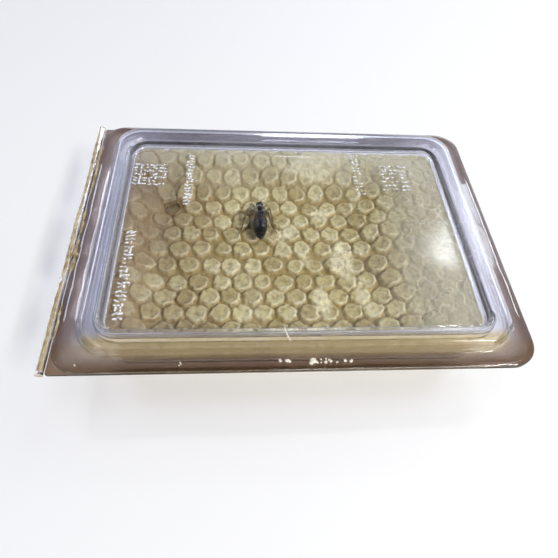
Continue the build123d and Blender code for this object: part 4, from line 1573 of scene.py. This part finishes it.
def lump(centre, size, seed):
    """A crumb: an uneven ball."""
    return ball(
        centre,
        size,
        rows=10,
        columns=14,
        shape=lambda direction: 0.85 + 0.35 * noise.noise(direction * 1.7 + Vector((seed, 0, 0))),
    )


crumb_parts = []
crumb_places = [
    (-3.8, 0.42), (-2.3, 0.55), (2.8, 0.72), (3.6, 0.50), (4.6, 0.25), (5.5, 0.55),
    (6.6, 0.36), (8.1, 0.22), (9.8, 0.40), (11.3, 0.48), (-24.7, 0.24), (-45.7, 0.20),
]
for seed, (x, size) in enumerate(crumb_places):
    for bit in range(4):
        spread = size * 0.8
        place_x = x + crumb_chance.uniform(-spread, spread)
        place_y = -36.5 + crumb_chance.uniform(-0.5, 0.5)
        bit_size = size * crumb_chance.uniform(0.35, 0.7)
        bit_place = (place_x, place_y, LID_TOP + bit_size * 0.35)
        bit_half = (bit_size * 1.2, bit_size, bit_size * 0.6)
        crumb_parts.append(lump(bit_place, bit_half, seed * 7 + bit))
crumb_piece = join_parts("fallen_crumbs", crumb_parts)
crumb_material, tree, principled, output = new_material("pale_wax")
place = add_node(tree, "ShaderNodeTexCoord")
crumb_noise = add_node(tree, "ShaderNodeTexNoise", Scale=1200.0, Detail=4.0)
tree.links.new(place.outputs["Object"], crumb_noise.inputs["Vector"])
crumb_color = ramp(tree, crumb_noise.outputs["Fac"], [(0.3, (0.68, 0.60, 0.44)), (0.7, (0.93, 0.90, 0.80))])
tree.links.new(crumb_color.outputs["Color"], principled.inputs["Base Color"])
bump = add_node(tree, "ShaderNodeBump", Strength=0.6, Distance=0.0001)
tree.links.new(crumb_noise.outputs["Fac"], bump.inputs["Height"])
tree.links.new(bump.outputs["Normal"], principled.inputs["Normal"])
principled.inputs["Roughness"].default_value = 0.5
crumb_piece.data.materials.append(crumb_material)
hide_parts("wax_crumbs")
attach(crumb_piece, "lid_body")


# ---------------------------------------------------------------------------
# Wax sliver: one thin pale thread of wax lying across the crest of the ring at the front.
# ---------------------------------------------------------------------------
sliver_path = smooth_path(
    [
        (-3.05, -30.3, CREST + 0.05),
        (-2.75, -31.3, CREST + 0.12),
        (-2.45, -32.2, CREST + 0.09),
        (-1.95, -33.3, CREST + 0.06),
    ],
    6,
)
sliver_top = node_box("wax_sliver")[1].z
sliver_radii = [0.10 + 0.07 * math.sin(1.1 * step) ** 2 for step in range(len(sliver_path))]
sliver_points, sliver_faces = tube(sliver_path, sliver_radii, 8)
sliver_points = [(x, y, min(max(z, CREST + 0.002), sliver_top)) for x, y, z in sliver_points]
sliver_piece = new_mesh("wax_thread", sliver_points, sliver_faces)
sliver_piece.data.materials.append(crumb_material)
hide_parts("wax_sliver")
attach(sliver_piece, "lid_body")


# ---------------------------------------------------------------------------
# Propolis: sticky golden-brown resin that the bees smeared along the hinge, in low lumpy streaks
# on the lid's hinge side and a beaded line on the roll.
# ---------------------------------------------------------------------------
def smear(points_along, half_width, thickness, seed, ground):
    """A low lumpy streak through points, lying on ground(x)."""
    path = smooth_path(points_along, 14)
    count = len(path)
    points = []
    faces = []
    across_steps = 8
    for index, point in enumerate(path):
        share = index / (count - 1)
        ends = math.sin(math.pi * min(max(share, 0.02), 0.98)) ** 0.35
        wide = half_width * ends * (0.75 + 0.6 * noise.noise(Vector((point.y * 0.8, seed, 0.0))))
        for step in range(across_steps + 1):
            spread = -1 + 2 * step / across_steps
            crown = max(1 - spread * spread, 0.0) ** 0.6
            lumps = 0.7 + 0.9 * abs(noise.noise(Vector((point.y * 1.1, spread * 1.5, seed))))
            x = point.x + wide * spread
            points.append((x, point.y, ground(x) + thickness * crown * lumps * ends))
    for index in range(count - 1):
        for step in range(across_steps):
            first = index * (across_steps + 1) + step
            faces.append((first, first + 1, first + across_steps + 2, first + across_steps + 1))
    return points, faces


smear_low, smear_high = node_box("propolis_smears")
smear_x = (smear_low.x + smear_high.x) / 2
lid_smears = []
lid_streaks = ((11, 30, 0.50), (-3, 6, 0.42), (-14, -4, 0.80), (-31, -22, 0.35))
for seed, (first_y, last_y, wide) in enumerate(lid_streaks):
    lid_smears.append(
        smear(
            [
                (smear_x, first_y, LID_TOP),
                (smear_x + 0.15, first_y * 0.6 + last_y * 0.4, LID_TOP),
                (smear_x - 0.05, first_y * 0.3 + last_y * 0.7, LID_TOP),
                (smear_x + 0.05, last_y, LID_TOP),
            ],
            wide,
            0.2,
            seed * 3.7,
            lambda x: LID_TOP,
        )
    )
propolis_piece = join_parts("lid_propolis", lid_smears)
propolis_material, tree, principled, output = new_material("propolis")
place = add_node(tree, "ShaderNodeTexCoord")
resin_noise = add_node(tree, "ShaderNodeTexNoise", Scale=520.0, Detail=5.0)
tree.links.new(place.outputs["Object"], resin_noise.inputs["Vector"])
resin_color = ramp(
    tree,
    resin_noise.outputs["Fac"],
    [(0.3, (0.20, 0.125, 0.045)), (0.5, (0.37, 0.285, 0.125)), (0.72, (0.55, 0.48, 0.29))],
)
tree.links.new(resin_color.outputs["Color"], principled.inputs["Base Color"])
resin_rough = ramp(tree, resin_noise.outputs["Fac"], [(0.3, (0.15, 0.15, 0.15)), (0.7, (0.45, 0.45, 0.45))])
tree.links.new(resin_rough.outputs["Color"], principled.inputs["Roughness"])
propolis_piece.data.materials.append(propolis_material)
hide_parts("propolis_smears")
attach(propolis_piece, "lid_body")


def roll_ground(x):
    """Height of the roll's surface at x."""
    return fold_z + math.sqrt(max(fold_radius**2 - (x - fold_x) ** 2, 0.0)) - 0.03


roll_smears = []
for seed, (first_y, last_y, wide) in enumerate(((9, 37.5, 0.62), (-15, 9.5, 0.66), (-37.5, -16, 0.50))):
    roll_smears.append(
        smear(
            [
                (fold_x - 0.05, first_y, fold_high.z - 0.12),
                (fold_x + 0.05, first_y * 0.6 + last_y * 0.4, fold_high.z - 0.10),
                (fold_x - 0.08, first_y * 0.3 + last_y * 0.7, fold_high.z - 0.12),
                (fold_x, last_y, fold_high.z - 0.12),
            ],
            wide,
            0.20,
            20 + seed * 5.1,
            roll_ground,
        )
    )
roll_propolis = join_parts("roll_propolis", roll_smears)
roll_propolis.data.materials.append(propolis_material)
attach(roll_propolis, "tray_body")
